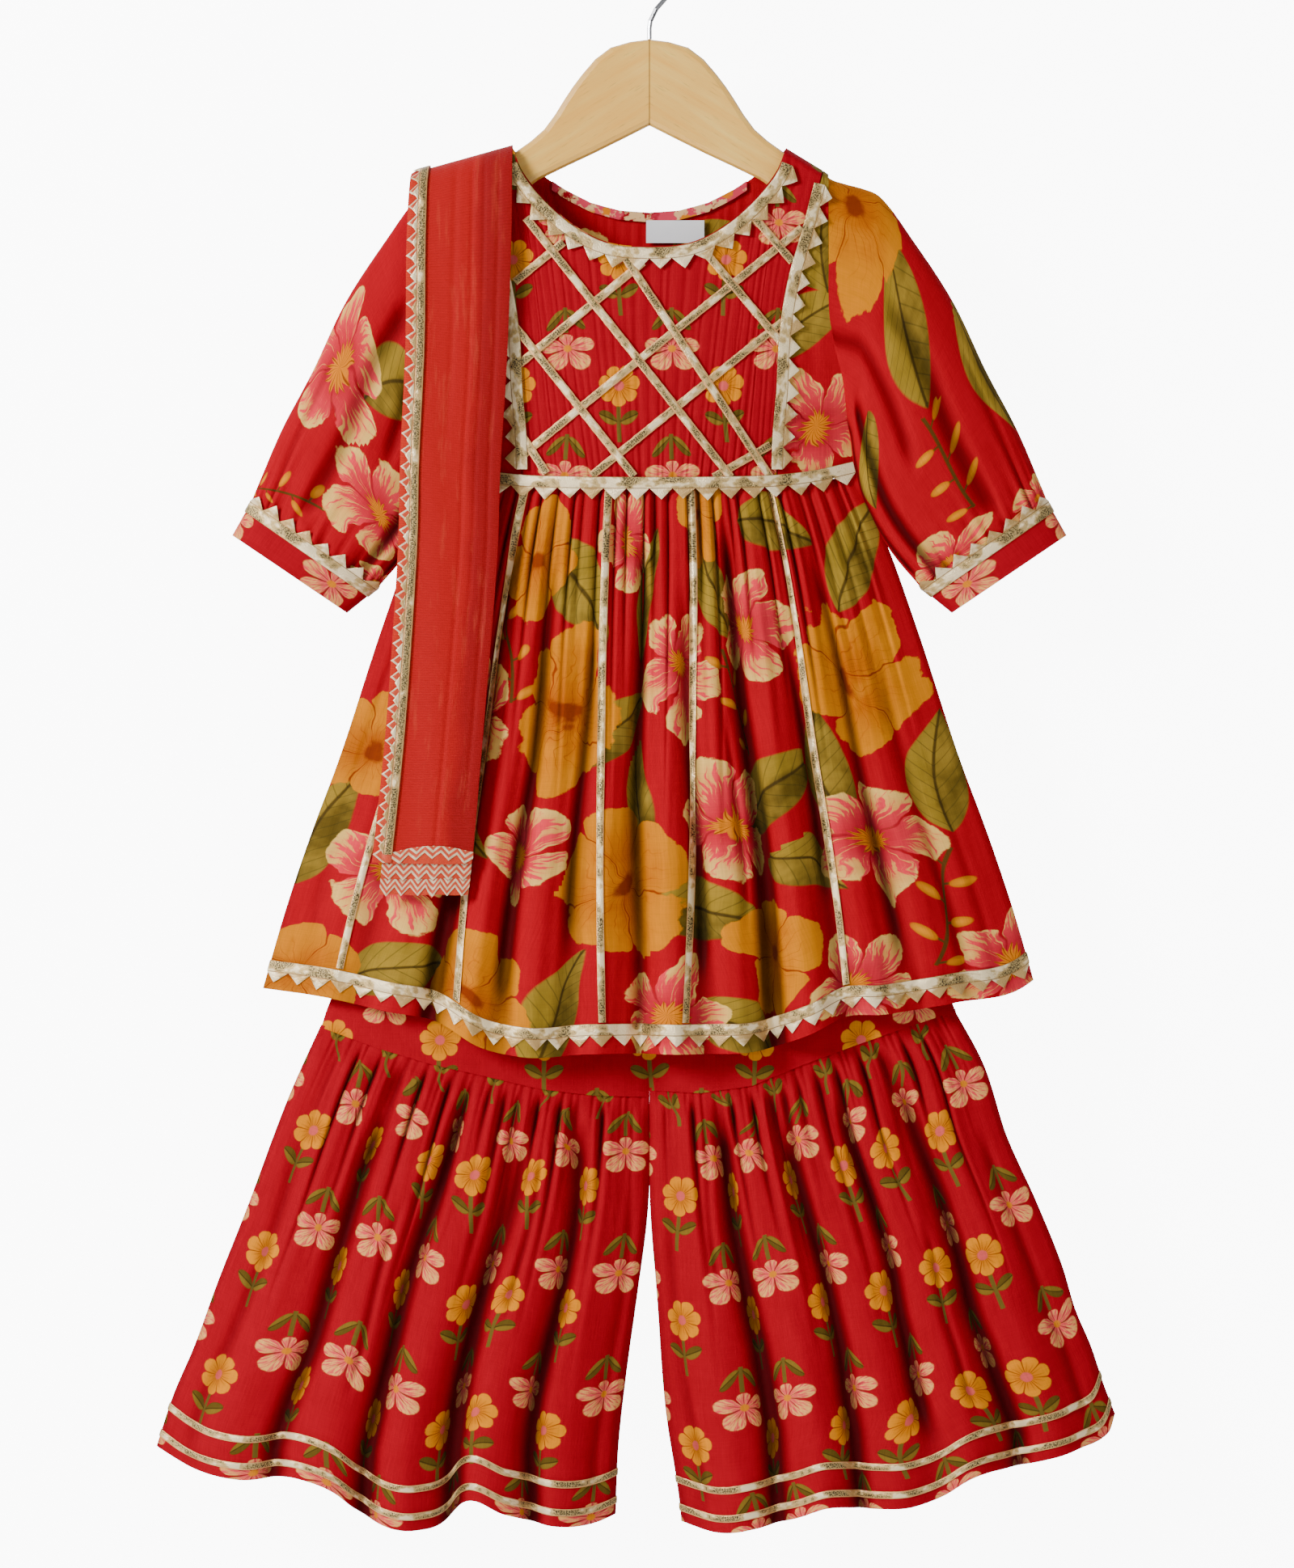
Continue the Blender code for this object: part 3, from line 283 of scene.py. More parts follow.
def ridges(rows, s):
    """Height of rounded ridges: bell curves of the given place, width and depth, summed."""
    s = np.asarray(s)[..., None]
    return (column(rows["depth"]) * np.exp(-((s - column(rows["at"], 1)) / column(rows["width"], 1)) ** 2)).sum(-1)


def creases(rows, s, share):
    """Depth of narrow troughs, each between its own start and end down the cloth."""
    s = np.asarray(s)[..., None]
    reach = hump(np.asarray(share)[..., None], column(rows["start"], 1), column(rows["end"], 1))
    bend = 0.008 * np.sin(9 * np.asarray(share)[..., None] + 7 * column(rows["at"], 1))
    dips = np.exp(-((s - bend - column(rows["at"], 1)) / column(rows["width"], 1)) ** 2)
    return (column(rows["depth"]) * reach * dips).sum(-1)


def gathering(c, seed):
    """Rows of gathers at c counted in gathers: rounded crowns and tight valleys of uneven width and strength."""
    c = c + 0.28 * wobble(2.3 * c, seed) + 0.1 * wobble(6.1 * c, seed + 1)
    strength = 0.75 + 0.3 * wobble(1.9 * c, seed + 2)
    return (2 * np.abs(np.sin(math.pi * c)) ** 0.75 - 1.2) * strength


def hollows(points, reach, depth):
    """How far each place lies in a fold: 1 where it is depth behind the mean of its neighbours within reach."""
    y = np.abs(points[..., 1])
    half = max(2, round(reach / 2 / np.linalg.norm(np.diff(points, axis=1), axis=2).mean()))
    total = np.cumsum(np.pad(y, ((0, 0), (half + 1, half)), mode="edge"), axis=1)
    mean = (total[:, 2 * half:] - np.pad(total, ((0, 0), (1, 0)))[:, :-2 * half - 1]) / (2 * half + 1)
    return np.clip((mean[:, 1:] - y) / depth, 0, 1)


def grid_normals(points, closed):
    """Unit normals of a grid of points, from the differences along both ways."""
    down = np.gradient(points, axis=0)
    if closed:
        across = np.roll(points, -1, axis=1) - np.roll(points, 1, axis=1)
    else:
        across = np.gradient(points, axis=1)
    normals = np.cross(across, down)
    return normals / np.maximum(np.linalg.norm(normals, axis=2, keepdims=True), 1e-12)


def surface(name, points, flat, outward=None, nodes=(), marks=None, hollow=None):
    """A smooth mesh on a grid of points; flat gives each point's place on the cut cloth in metres.

    Outward is the way an open panel looks; without it the grid closes round a tube.
    Marks are further corner attributes, made by a function from the corners' flat places; hollow is each
    point's place in a fold, where the lawn's material paints shade, as the narrow folds of real cloth lie in shadow.
    Returns the object, the points and their outward normals.
    """
    closed = outward is None
    normals = grid_normals(points, closed)
    out = points - points.mean(axis=1, keepdims=True) if closed else np.asarray(outward, float)
    rows, columns = points.shape[:2]
    index = np.arange(rows * columns).reshape(rows, columns)
    if closed:
        index = np.concatenate([index, index[:, :1]], axis=1)
    order = [index[:-1, :-1], index[:-1, 1:], index[1:, 1:], index[1:, :-1]]
    # A closed ring is one column short: its last faces end where the flat cloth goes on
    spread = np.concatenate([flat, flat[:, :1] + (flat[:, -1:] - flat[:, -2:-1]) * columns], axis=1) if closed else flat
    places = [spread[:-1, :-1], spread[:-1, 1:], spread[1:, 1:], spread[1:, :-1]]
    if (normals * out).sum() < 0:
        normals = -normals
        order.reverse()
        places.reverse()
    faces = np.stack([corner.ravel() for corner in order], axis=1)
    corners = np.stack([place.reshape(-1, 2) for place in places], axis=1)
    mesh = bpy.data.meshes.new(name)
    mesh.from_pydata(points.reshape(-1, 3).tolist(), [], faces.tolist())
    mesh.uv_layers.new(name="flat").data.foreach_set("uv", corners.ravel())
    if marks is not None:
        for title, values in marks(corners).items():
            mesh.attributes.new(title, "FLOAT_VECTOR", "CORNER").data.foreach_set("vector", values.ravel())
    if hollow is not None:
        mesh.attributes.new("hollow", "FLOAT", "POINT").data.foreach_set("value", hollow.ravel())
    mesh.shade_smooth()
    made = bpy.data.objects.new(name, mesh)
    bpy.context.scene.collection.objects.link(made)
    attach(made, "root")
    if nodes:
        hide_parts(*nodes)
    return made, points, normals


def part_way(panel, rows, columns, lift):
    """Points on a panel at fractional rows and columns, moved out by lift."""
    _, points, normals = panel
    rows, columns = np.broadcast_arrays(rows, columns)
    low = np.clip(np.floor(rows).astype(int), 0, points.shape[0] - 2)
    near = np.clip(np.floor(columns).astype(int), 0, points.shape[1] - 2)
    down, across = (rows - low)[..., None], (columns - near)[..., None]

    def blend(values):
        upper = mix(values[low, near], values[low, near + 1], across)
        return mix(upper, mix(values[low + 1, near], values[low + 1, near + 1], across), down)

    return blend(points) + blend(normals) * np.asarray(lift)[..., None]


# The printed garden: where each motif lies on the cut cloth, in mm from the middle of the waist seam,
# its half size and its turn in degrees. Flowers are printed over leaves.
BLOSSOM, SUNNY, LEAF, BUDS = 1, 2, 1, 2
SKIRT_FLOWERS = ((34, -112, 40, 20, BLOSSOM), (122, -84, 41, -35, BLOSSOM), (66, -208, 41, 70, BLOSSOM),
                 (-176, -148, 41, 10, BLOSSOM), (-214, -262, 40, 50, BLOSSOM), (196, -236, 42, 100, BLOSSOM),
                 (10, -326, 38, -40, BLOSSOM), (-36, -30, 33, 15, BLOSSOM), (166, -326, 36, 15, BLOSSOM),
                 (-104, -226, 32, -60, BLOSSOM), (250, -330, 34, 20, BLOSSOM), (-84, -138, 52, 30, SUNNY),
                 (-26, -246, 48, -15, SUNNY), (-122, -322, 42, 5, SUNNY), (98, -292, 40, 40, SUNNY),
                 (208, -128, 50, 80, SUNNY), (-134, -42, 38, 25, SUNNY), (66, -16, 34, 60, SUNNY),
                 (-246, -182, 36, 40, SUNNY), (-244, -338, 34, 0, SUNNY))
SKIRT_LEAVES = ((-88, -66, 50, -38, LEAF), (0, -66, 44, 75, LEAF), (78, -56, 42, 110, LEAF), (160, -30, 46, -12, LEAF),
                (40, -268, 48, -8, LEAF), (124, -196, 48, 22, LEAF), (-176, -222, 44, -15, LEAF),
                (-60, -324, 42, 70, LEAF), (176, -184, 40, 95, LEAF), (226, -286, 40, 60, BUDS),
                (-190, -326, 42, 20, LEAF), (-6, -184, 42, 100, LEAF), (-210, -84, 42, 70, LEAF),
                (-150, -98, 38, 100, BUDS), (240, -52, 44, 50, LEAF), (56, -340, 38, -30, LEAF),
                (252, -200, 40, 80, LEAF), (-254, -240, 40, 80, LEAF), (136, -248, 38, -30, LEAF),
                (-30, -150, 36, 40, LEAF), (90, -138, 40, 100, BUDS))



def printed(layers):
    """Corner marks for print layers: each face takes the nearest motif, each corner its place in that motif.

    A place is (corner - centre) turned back by the motif's turn and divided by its half size.
    """
    def marks(corners):
        made = {}
        middles = corners.mean(axis=1)
        for title, motifs in layers.items():
            rows = np.array(motifs, float)
            centre, size, turn = rows[:, :2] * MM, rows[:, 2] * MM, np.radians(rows[:, 3])
            apart = np.linalg.norm(middles[:, None] - centre, axis=2) / size
            nearest = apart.argmin(axis=1)
            offset = (corners - centre[nearest, None]) / size[nearest, None, None]
            c, s = np.cos(turn[nearest])[:, None], np.sin(turn[nearest])[:, None]
            u = offset[..., 0] * c + offset[..., 1] * s
            v = -offset[..., 0] * s + offset[..., 1] * c
            kind = np.broadcast_to(rows[nearest, 4][:, None], u.shape)
            made[title] = np.stack([u, v, kind], axis=-1)
        return made
    return marks


def lawn(tree, shader, tone, flat):
    """Cotton lawn over a printed tone: slubs and a plain weave as faint colour and bump, painted shade in the hollows
    of its folds, soft sheen.
    """
    warp = add(tree, "SeparateXYZ", flat)
    weft = add(tree, "SeparateXYZ", flat, output=1)
    slub = add(tree, "TexNoise", add(tree, "CombineXYZ", add(tree, "MULTIPLY", warp, 1500.0),
                                     add(tree, "MULTIPLY", weft, 45.0), 0.0), 1.0, 3.0, 0.55)
    pick = add(tree, "TexNoise", add(tree, "CombineXYZ", add(tree, "MULTIPLY", warp, 60.0),
                                     add(tree, "MULTIPLY", weft, 1300.0), 3.0), 1.0, 2.0, 0.5)
    threads = add(tree, "ADD", add(tree, "MULTIPLY", slub, 0.65), add(tree, "MULTIPLY", pick, 0.35))
    shade = add(tree, "MapRange", threads, 0.3, 0.7, 0.86, 1.1)
    # Painted shade: the tone darkens in the deep hollows of the folds, as the shadow that narrow folds of real cloth
    # hold
    hollow = add(tree, "Attribute", attribute_name="hollow", output=2)
    shade = add(tree, "MULTIPLY", shade, add(tree, "MapRange", hollow, 0.0, 1.0, 1.0, 0.18))
    toned = add(tree, "VectorMath", tone, shade, operation="SCALE")
    scaled = toned.node
    for link in list(scaled.inputs[1].links):
        tree.links.remove(link)
    tree.links.new(shade, scaled.inputs["Scale"])
    tree.links.new(toned, shader.inputs["Base Color"])
    tree.links.new(add(tree, "Bump", 0.35, 0.0004, None, threads), shader.inputs["Normal"])


def petals(tree, radius, angle, count, notch, ragged):
    """Share across a petal (-0.5 to 0.5) and how far inside the petals' edge a place is.

    The edge is notch at the gaps and 1 in a petal's middle, on a half circle between them.
    """
    turn = add(tree, "MULTIPLY_ADD", angle, count / (2 * math.pi), ragged)
    across = add(tree, "SUBTRACT", add(tree, "FRACT", turn), 0.5)
    half = add(tree, "MULTIPLY", across, 2.0)
    arch = add(tree, "POWER", add(tree, "SUBTRACT", 1.0, add(tree, "MULTIPLY", half, half)), 0.45)
    edge = add(tree, "MULTIPLY_ADD", arch, 1 - notch, notch)
    return across, add(tree, "SUBTRACT", edge, radius)


def bloom_print():
    """Red lawn printed with cream and pink blossoms, golden flowers, olive leaves and bud sprigs."""
    made, tree, shader = finish_of("printed_lawn_garden", 0.72, sheen=0.03, gloss=0.06)
    flat = add(tree, "UVMap", uv_map="flat")
    leaf = add(tree, "Attribute", attribute_name="leaf", output=1)
    lu, lv, lk = (add(tree, "SeparateXYZ", leaf, output=i) for i in range(3))
    blotch = add(tree, "TexNoise", flat, 35.0, 3.0, 0.6)
    grain = add(tree, "TexNoise", flat, 260.0, 3.0, 0.6)
    worn = add(tree, "MULTIPLY_ADD", add(tree, "SUBTRACT", blotch, 0.5), 0.25, 0.0)

    ground = add(tree, "Mix", blotch, srgb("#a20014"), srgb("#b00019"), data_type="RGBA")

    # Leaf: a bent lens from -0.9 to 1 along u, with a midrib and slanting side veins
    span = add(tree, "SUBTRACT", 1.0, add(tree, "MULTIPLY", lu, lu))
    span = add(tree, "MAXIMUM", span, 0.0)
    rib = add(tree, "SUBTRACT", lv, add(tree, "MULTIPLY", span, 0.16))
    aside = add(tree, "ABSOLUTE", rib)
    half = add(tree, "MULTIPLY", add(tree, "POWER", span, 0.85), add(tree, "MULTIPLY_ADD", lu, -0.12, 0.42))
    inside = add(tree, "ADD", add(tree, "SUBTRACT", half, aside), add(tree, "MULTIPLY", worn, 0.12))
    is_leaf = add(tree, "LESS_THAN", lk, 1.5)
    leaf_mask = add(tree, "MULTIPLY", add(tree, "MapRange", inside, 0.0, 0.03, 0.0, 1.0), is_leaf)
    lobe = add(tree, "MapRange", add(tree, "ADD", rib, worn), -0.03, 0.06, 0.0, 1.0)
    olive = add(tree, "Mix", lobe, srgb("#5e4a14"), srgb("#8c7020"), data_type="RGBA")
    olive = add(tree, "Mix", add(tree, "MapRange", blotch, 0.4, 0.65, 0.0, 0.7), olive, srgb("#a8862e"),
                data_type="RGBA")
    slant = add(tree, "FRACT", add(tree, "MULTIPLY", add(tree, "SUBTRACT", lu, aside), 5.0))
    veins = add(tree, "MapRange", add(tree, "ABSOLUTE", add(tree, "SUBTRACT", slant, 0.5)), 0.03, 0.07, 0.5, 0.0)
    olive = add(tree, "Mix", veins, olive, srgb("#3f3913"), data_type="RGBA")
    midrib = add(tree, "MapRange", aside, 0.012, 0.03, 0.85, 0.0)
    olive = add(tree, "Mix", midrib, olive, srgb("#3a2a0e"), data_type="RGBA")
    tone = add(tree, "Mix", leaf_mask, ground, olive, data_type="RGBA")

    # Buds: a bent brown stem with five golden drops that stand out left and right of it in turn
    is_buds = add(tree, "GREATER_THAN", lk, 1.5)
    within = add(tree, "LESS_THAN", add(tree, "ABSOLUTE", lu), 1.0)
    is_buds = add(tree, "MULTIPLY", is_buds, within)
    bent = add(tree, "SUBTRACT", lv, add(tree, "MULTIPLY", add(tree, "SINE", add(tree, "MULTIPLY", lu, 1.6)), 0.14))
    stem = add(tree, "MapRange", add(tree, "ABSOLUTE", bent), 0.018, 0.035, 1.0, 0.0)
    step = add(tree, "MULTIPLY_ADD", lu, 3.0, 3.0)
    cell = add(tree, "FRACT", step)
    odd = add(tree, "MODULO", add(tree, "FLOOR", step), 2.0)
    side = add(tree, "MULTIPLY_ADD", odd, 2.0, -1.0)
    out = add(tree, "MULTIPLY", bent, side)
    du = add(tree, "MULTIPLY", add(tree, "SUBTRACT", cell, 0.5), 0.333)
    dv = add(tree, "SUBTRACT", out, 0.26)
    du = add(tree, "SUBTRACT", du, add(tree, "MULTIPLY", dv, 0.5))
    drop = add(tree, "SQRT", add(tree, "ADD", add(tree, "POWER", add(tree, "DIVIDE", add(tree, "ABSOLUTE", du), 0.095), 2.0),
                                 add(tree, "POWER", add(tree, "DIVIDE", add(tree, "ABSOLUTE", dv), 0.17), 2.0)))
    bud_mask = add(tree, "MULTIPLY", add(tree, "MapRange", drop, 1.0, 0.85, 0.0, 1.0), is_buds)
    foot = add(tree, "MULTIPLY", add(tree, "MapRange", add(tree, "ABSOLUTE", du), 0.012, 0.03, 1.0, 0.0),
               add(tree, "MULTIPLY", add(tree, "GREATER_THAN", out, 0.0), add(tree, "LESS_THAN", out, 0.2)))
    stem = add(tree, "MULTIPLY", add(tree, "MAXIMUM", stem, foot), is_buds)
    tone = add(tree, "Mix", stem, tone, srgb("#583812"), data_type="RGBA")
    golden = add(tree, "Mix", add(tree, "MapRange", drop, 0.2, 1.0, 0.0, 1.0), srgb("#e08c10"), srgb("#b96400"),
                 data_type="RGBA")
    tone = add(tree, "Mix", bud_mask, tone, golden, data_type="RGBA")

    # Flowers: five petals round a centre
    bloom = add(tree, "Attribute", attribute_name="flower", output=1)
    fu, fv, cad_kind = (add(tree, "SeparateXYZ", bloom, output=i) for i in range(3))
    drawn = add(tree, "TexNoise", flat, 26.0, 2.0, output=1)
    fu = add(tree, "MULTIPLY_ADD", add(tree, "SUBTRACT", add(tree, "SeparateXYZ", drawn), 0.5), 0.8, fu)
    fv = add(tree, "MULTIPLY_ADD", add(tree, "SUBTRACT", add(tree, "SeparateXYZ", drawn, output=1), 0.5), 0.8, fv)
    radius = add(tree, "SQRT", add(tree, "ADD", add(tree, "MULTIPLY", fu, fu), add(tree, "MULTIPLY", fv, fv)))
    angle = add(tree, "ARCTAN2", fv, fu)
    sway = add(tree, "MULTIPLY", add(tree, "SUBTRACT", blotch, 0.5), 0.45)
    rough = add(tree, "MULTIPLY", add(tree, "SUBTRACT", grain, 0.5), 0.10)
    radius = add(tree, "ADD", radius, add(tree, "MULTIPLY_ADD", sway, 0.25, rough))

    across, inner = petals(tree, radius, angle, 5, 0.30, sway)
    is_blossom = add(tree, "LESS_THAN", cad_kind, 1.5)
    blossom_mask = add(tree, "MULTIPLY", add(tree, "MapRange", inner, 0.0, 0.025, 0.0, 1.0), is_blossom)
    streak_place = add(tree, "CombineXYZ", add(tree, "MULTIPLY", across, 16.0),
                       add(tree, "MULTIPLY", radius, 2.2), add(tree, "FLOOR", add(tree, "MULTIPLY", angle, 0.8)))
    streak = add(tree, "TexNoise", streak_place, 1.0, 3.0, 0.6)
    deeper = add(tree, "MULTIPLY_ADD", radius, -0.42, 0.30)
    rosy = add(tree, "MapRange", add(tree, "ADD", streak, deeper), 0.47, 0.54, 0.0, 1.0)
    cream = add(tree, "Mix", add(tree, "MapRange", inner, 0.0, 0.3, 0.0, 1.0), srgb("#ecc064"), srgb("#e49a50"),
                data_type="RGBA")
    pink = add(tree, "Mix", add(tree, "MapRange", radius, 0.2, 0.7, 0.0, 1.0), srgb("#b8142a"), srgb("#e63c46"),
               data_type="RGBA")
    petal = add(tree, "Mix", rosy, cream, pink, data_type="RGBA")
    rim = add(tree, "MapRange", add(tree, "ABSOLUTE", across), 0.455, 0.48, 0.0, 0.8)
    petal = add(tree, "Mix", rim, petal, srgb("#98101f"), data_type="RGBA")
    rays = add(tree, "ABSOLUTE", add(tree, "SUBTRACT", add(tree, "FRACT", add(tree, "MULTIPLY", angle, 2.4)), 0.5))
    heart = add(tree, "MapRange", add(tree, "ADD", radius, add(tree, "MULTIPLY", rays, 0.28)), 0.27, 0.30, 1.0, 0.0)
    petal = add(tree, "Mix", heart, petal, srgb("#d87a06"), data_type="RGBA")
    dots = add(tree, "MULTIPLY", add(tree, "MapRange", rays, 0.05, 0.1, 1.0, 0.0),
               add(tree, "MapRange", radius, 0.30, 0.26, 0.0, 0.8))
    petal = add(tree, "Mix", dots, petal, srgb("#6b200a"), data_type="RGBA")
    tone = add(tree, "Mix", blossom_mask, tone, petal, data_type="RGBA")

    wide, within_gold = petals(tree, radius, angle, 5, 0.70, sway)
    is_gold = add(tree, "GREATER_THAN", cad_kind, 1.5)
    gold_mask = add(tree, "MULTIPLY", add(tree, "MapRange", within_gold, 0.0, 0.02, 0.0, 1.0), is_gold)
    gold = add(tree, "Mix", add(tree, "MapRange", add(tree, "ADD", radius, worn), 0.15, 0.8, 0.0, 1.0),
               srgb("#b05800"), srgb("#d07c00"), data_type="RGBA")
    gold = add(tree, "Mix", add(tree, "MapRange", blotch, 0.5, 0.75, 0.0, 0.55), gold, srgb("#e08a00"),
               data_type="RGBA")
    fan = add(tree, "ABSOLUTE", add(tree, "SUBTRACT", add(tree, "FRACT", add(tree, "MULTIPLY_ADD", wide, 6.0, sway)),
                                    0.5))
    vein = add(tree, "MULTIPLY", add(tree, "MapRange", fan, 0.02, 0.06, 0.7, 0.0),
               add(tree, "MapRange", radius, 0.85, 0.25, 0.0, 1.0))
    gold = add(tree, "Mix", vein, gold, srgb("#8a2e06"), data_type="RGBA")
    parting = add(tree, "MapRange", add(tree, "ABSOLUTE", wide), 0.475, 0.49, 0.0, 0.9)
    gold = add(tree, "Mix", parting, gold, srgb("#842704"), data_type="RGBA")
    eye = add(tree, "MapRange", radius, 0.16, 0.1, 0.0, 0.9)
    gold = add(tree, "Mix", eye, gold, srgb("#7c2706"), data_type="RGBA")
    tone = add(tree, "Mix", gold_mask, tone, gold, data_type="RGBA")
    lawn(tree, shader, tone, flat)
    return made


def skirt_edge(z):
    """Half width of the skirt at a height."""
    return smooth(column(SKIRT_SECTION["z"]), column(SKIRT_SECTION["half_width"]), z)


def waist_z(x):
    """Height of the seam between yoke and skirt."""
    return smooth(column(WAIST_LINE["x"]), column(WAIST_LINE["z"]), np.abs(x))


def turned_in(depth, near):
    """Depth of a panel whose edge turns in to a side seam; near is the distance from the edge across the panel."""
    return mix(SEAM_EDGE, depth, np.clip(near / 0.018, 0, 1) ** 0.5)


def cloth_across(points, hollow, width):
    """Places across the cut cloth, 0 to width: even along each row's folds, but most is hidden in the hollows."""
    steps = np.linalg.norm(np.diff(points, axis=1, prepend=points[:, :1]), axis=2) * (1 + 2.4 * hollow)
    along = np.cumsum(steps, axis=1)
    return along / along[:, -1:] * width


def skirt_panel(name, face, columns, rows, nodes):
    """A skirt panel: half width by height, a lens of fullness across, gathers at the top, folds below."""
    sense = -1 if face == "front" else 1
    place = np.linspace(-1, 1, columns + 1)
    share = np.linspace(0, 1, rows + 1)[:, None]
    hem_place = smooth(SKIRT_DRIFT["top"], SKIRT_DRIFT["hem"], place)
    top = waist_z(place * skirt_edge(-340 * MM)) - 0.3 * MM
    hem = smooth(column(SKIRT_HEM["x"]), column(SKIRT_HEM["z"]), hem_place * 238 * MM)
    z = mix(top, hem, share)
    s = mix(place, hem_place, share)
    x = s * skirt_edge(z)
    flip = -sense
    depth = PANEL_EDGE + smooth(column(SKIRT_SECTION["z"]), column(SKIRT_SECTION[face]), z) * lens(s)
    count = (place + 1) / 2 * SKIRT_GATHERS[face]
    reach = 0.5 + 0.22 * wobble(2.7 * count, 5)
    strength = mix(WAIST_GATHER, SKIRT_GATHER, np.clip(share / 0.1, 0, 1))
    fine = strength * np.clip(1 - share / reach, 0, 1) ** 1.2 * gathering(count, 1 if face == "front" else 4)
    broad = ridges(SKIRT_RIDGES, flip * s) * np.clip((share - 0.08) / 0.6, 0, 1)
    narrow = creases(SKIRT_CREASES, flip * s, share) * (0.75 + 0.25 * share)
    ripple = 0.35 * MM * wobble(90 * s + 3 * share, 2) * np.clip(share / 0.3, 0, 1)
    tuck = 3.0 * MM * np.clip(1 - share / 0.07, 0, 1)
    taper = 1 - np.abs(place) ** 6
    ease = 2.0 * MM * np.clip(share / 0.5, 0, 1)
    depth = np.maximum(depth - tuck + taper * (fine + broad - narrow + ripple - ease), PANEL_EDGE)
    depth = turned_in(depth, 1 - np.abs(place))
    points = np.stack([x, sense * depth, z], axis=-1)
    # Each point's depth in a fold: the print hides there, and the lawn paints shade there
    hollow = np.maximum(hollows(points, 9 * MM, 2.6 * MM), hollows(points, 36 * MM, 5 * MM))
    flat = np.stack([cloth_across(points, hollow, 524 * MM) - 262 * MM, -share * 350 * MM + 0 * z], axis=-1)
    made = surface(name, points, flat, (0, sense, 0), nodes,
                   printed({"flower": SKIRT_FLOWERS, "leaf": SKIRT_LEAVES}), hollow)
    made[0].data.materials.append(GARDEN_LAWN)
    return made


GARDEN_LAWN = bloom_print()
SKIRT_FRONT = skirt_panel("skirt_front_cloth", "front", 420, 110, ["skirt_front"])
SKIRT_BACK = skirt_panel("skirt_back_cloth", "back", 280, 80, ["skirt_back"])


# Kurta yoke.
# The middle of the front is the small sprig lawn, finely crimped; narrow sides and the back are
# the garden lawn. Princess seams join them, and the shoulders hang over the hanger's arms.

NECK_FRONT = {"x": (0, 14, 27, 40, 53.5, 67, 78, 84.5), "z": (-198.5, -198, -195.5, -189.5, -180, -167, -152.5, -136.5)}
NECK_BACK = {"x": (0, 21, 41, 60, 74, 84.5), "z": (-175.5, -174, -168, -156.5, -146, -136.5)}
SHOULDER = {"x": (84.5, 97, 110.5), "z": (-136.5, -144.2, -152.5)}
PRINCESS_SEAM = {"z": (-342, -318.5, -288, -251.5, -220.5, -188.5, -159.5, -150),
                 "x": (78.5, 79, 81.5, 83.5, 88.5, 97.5, 105, 107.5)}
SIDE_SEAM = {"z": (-345, -328, -301, -280.5, -250, -196, -152.5), "x": (127, 126.5, 122.5, 120, 112.5, 110.5, 110.5)}
YOKE_DEPTH = {"z": (-348, -270, -200, -130), "front": (21, 20, 16, 14), "back": (17, 15, 12, 11)}
ARMHOLE_TOP = -152.5 * MM
ARMHOLE_FOOT = -301 * MM
YOKE_CRIMP = 0.8 * MM
SPRIG_PITCH = (65, 78)
SPRIG_SIZE = 31
YELLOW_SPRIG, PINK_SPRIG = 1, 2
BACK_FLOWERS = ((-52, -215, 36, 20, BLOSSOM), (45, -250, 44, -25, SUNNY), (-40, -310, 34, 60, BLOSSOM),
                (92, -320, 32, 10, BLOSSOM), (88, -186, 28, 30, BLOSSOM), (-96, -290, 30, 0, SUNNY))
BACK_LEAVES = ((-2, -238, 38, 60, LEAF), (10, -300, 36, -20, LEAF), (-85, -180, 34, -40, LEAF),
               (-92, -250, 32, 80, LEAF), (96, -262, 30, 80, BUDS), (40, -196, 30, 15, LEAF))
SIDE_FLOWERS = ((103, -306, 36, 15, BLOSSOM), (-104, -250, 33, 20, BLOSSOM))
SIDE_LEAVES = ((98, -152, 46, -32, LEAF), (112, -206, 36, 96, LEAF), (100, -248, 38, 35, LEAF), (-100, -190, 40, 96, LEAF),
               (-110, -310, 36, 70, LEAF))


def sprigs(low, high, shift=(0, 0)):
    """The small repeat between two corners: yellow sprigs on a lattice, pink ones half a step across."""
    width, height = SPRIG_PITCH
    i, j = np.meshgrid(np.arange(math.floor(low[0] / width), math.ceil(high[0] / width) + 1),
                       np.arange(math.floor(low[1] / height), math.ceil(high[1] / height) + 1))
    yellow = [(x + shift[0], z + shift[1], SPRIG_SIZE, 4 * math.sin(x + z), YELLOW_SPRIG)
              for x, z in zip(i.ravel() * width, j.ravel() * height)]
    pink = [(x + width / 2, z + height * 0.66, size, -turn, PINK_SPRIG) for x, z, size, turn, _ in yellow]
    return tuple(yellow + pink)


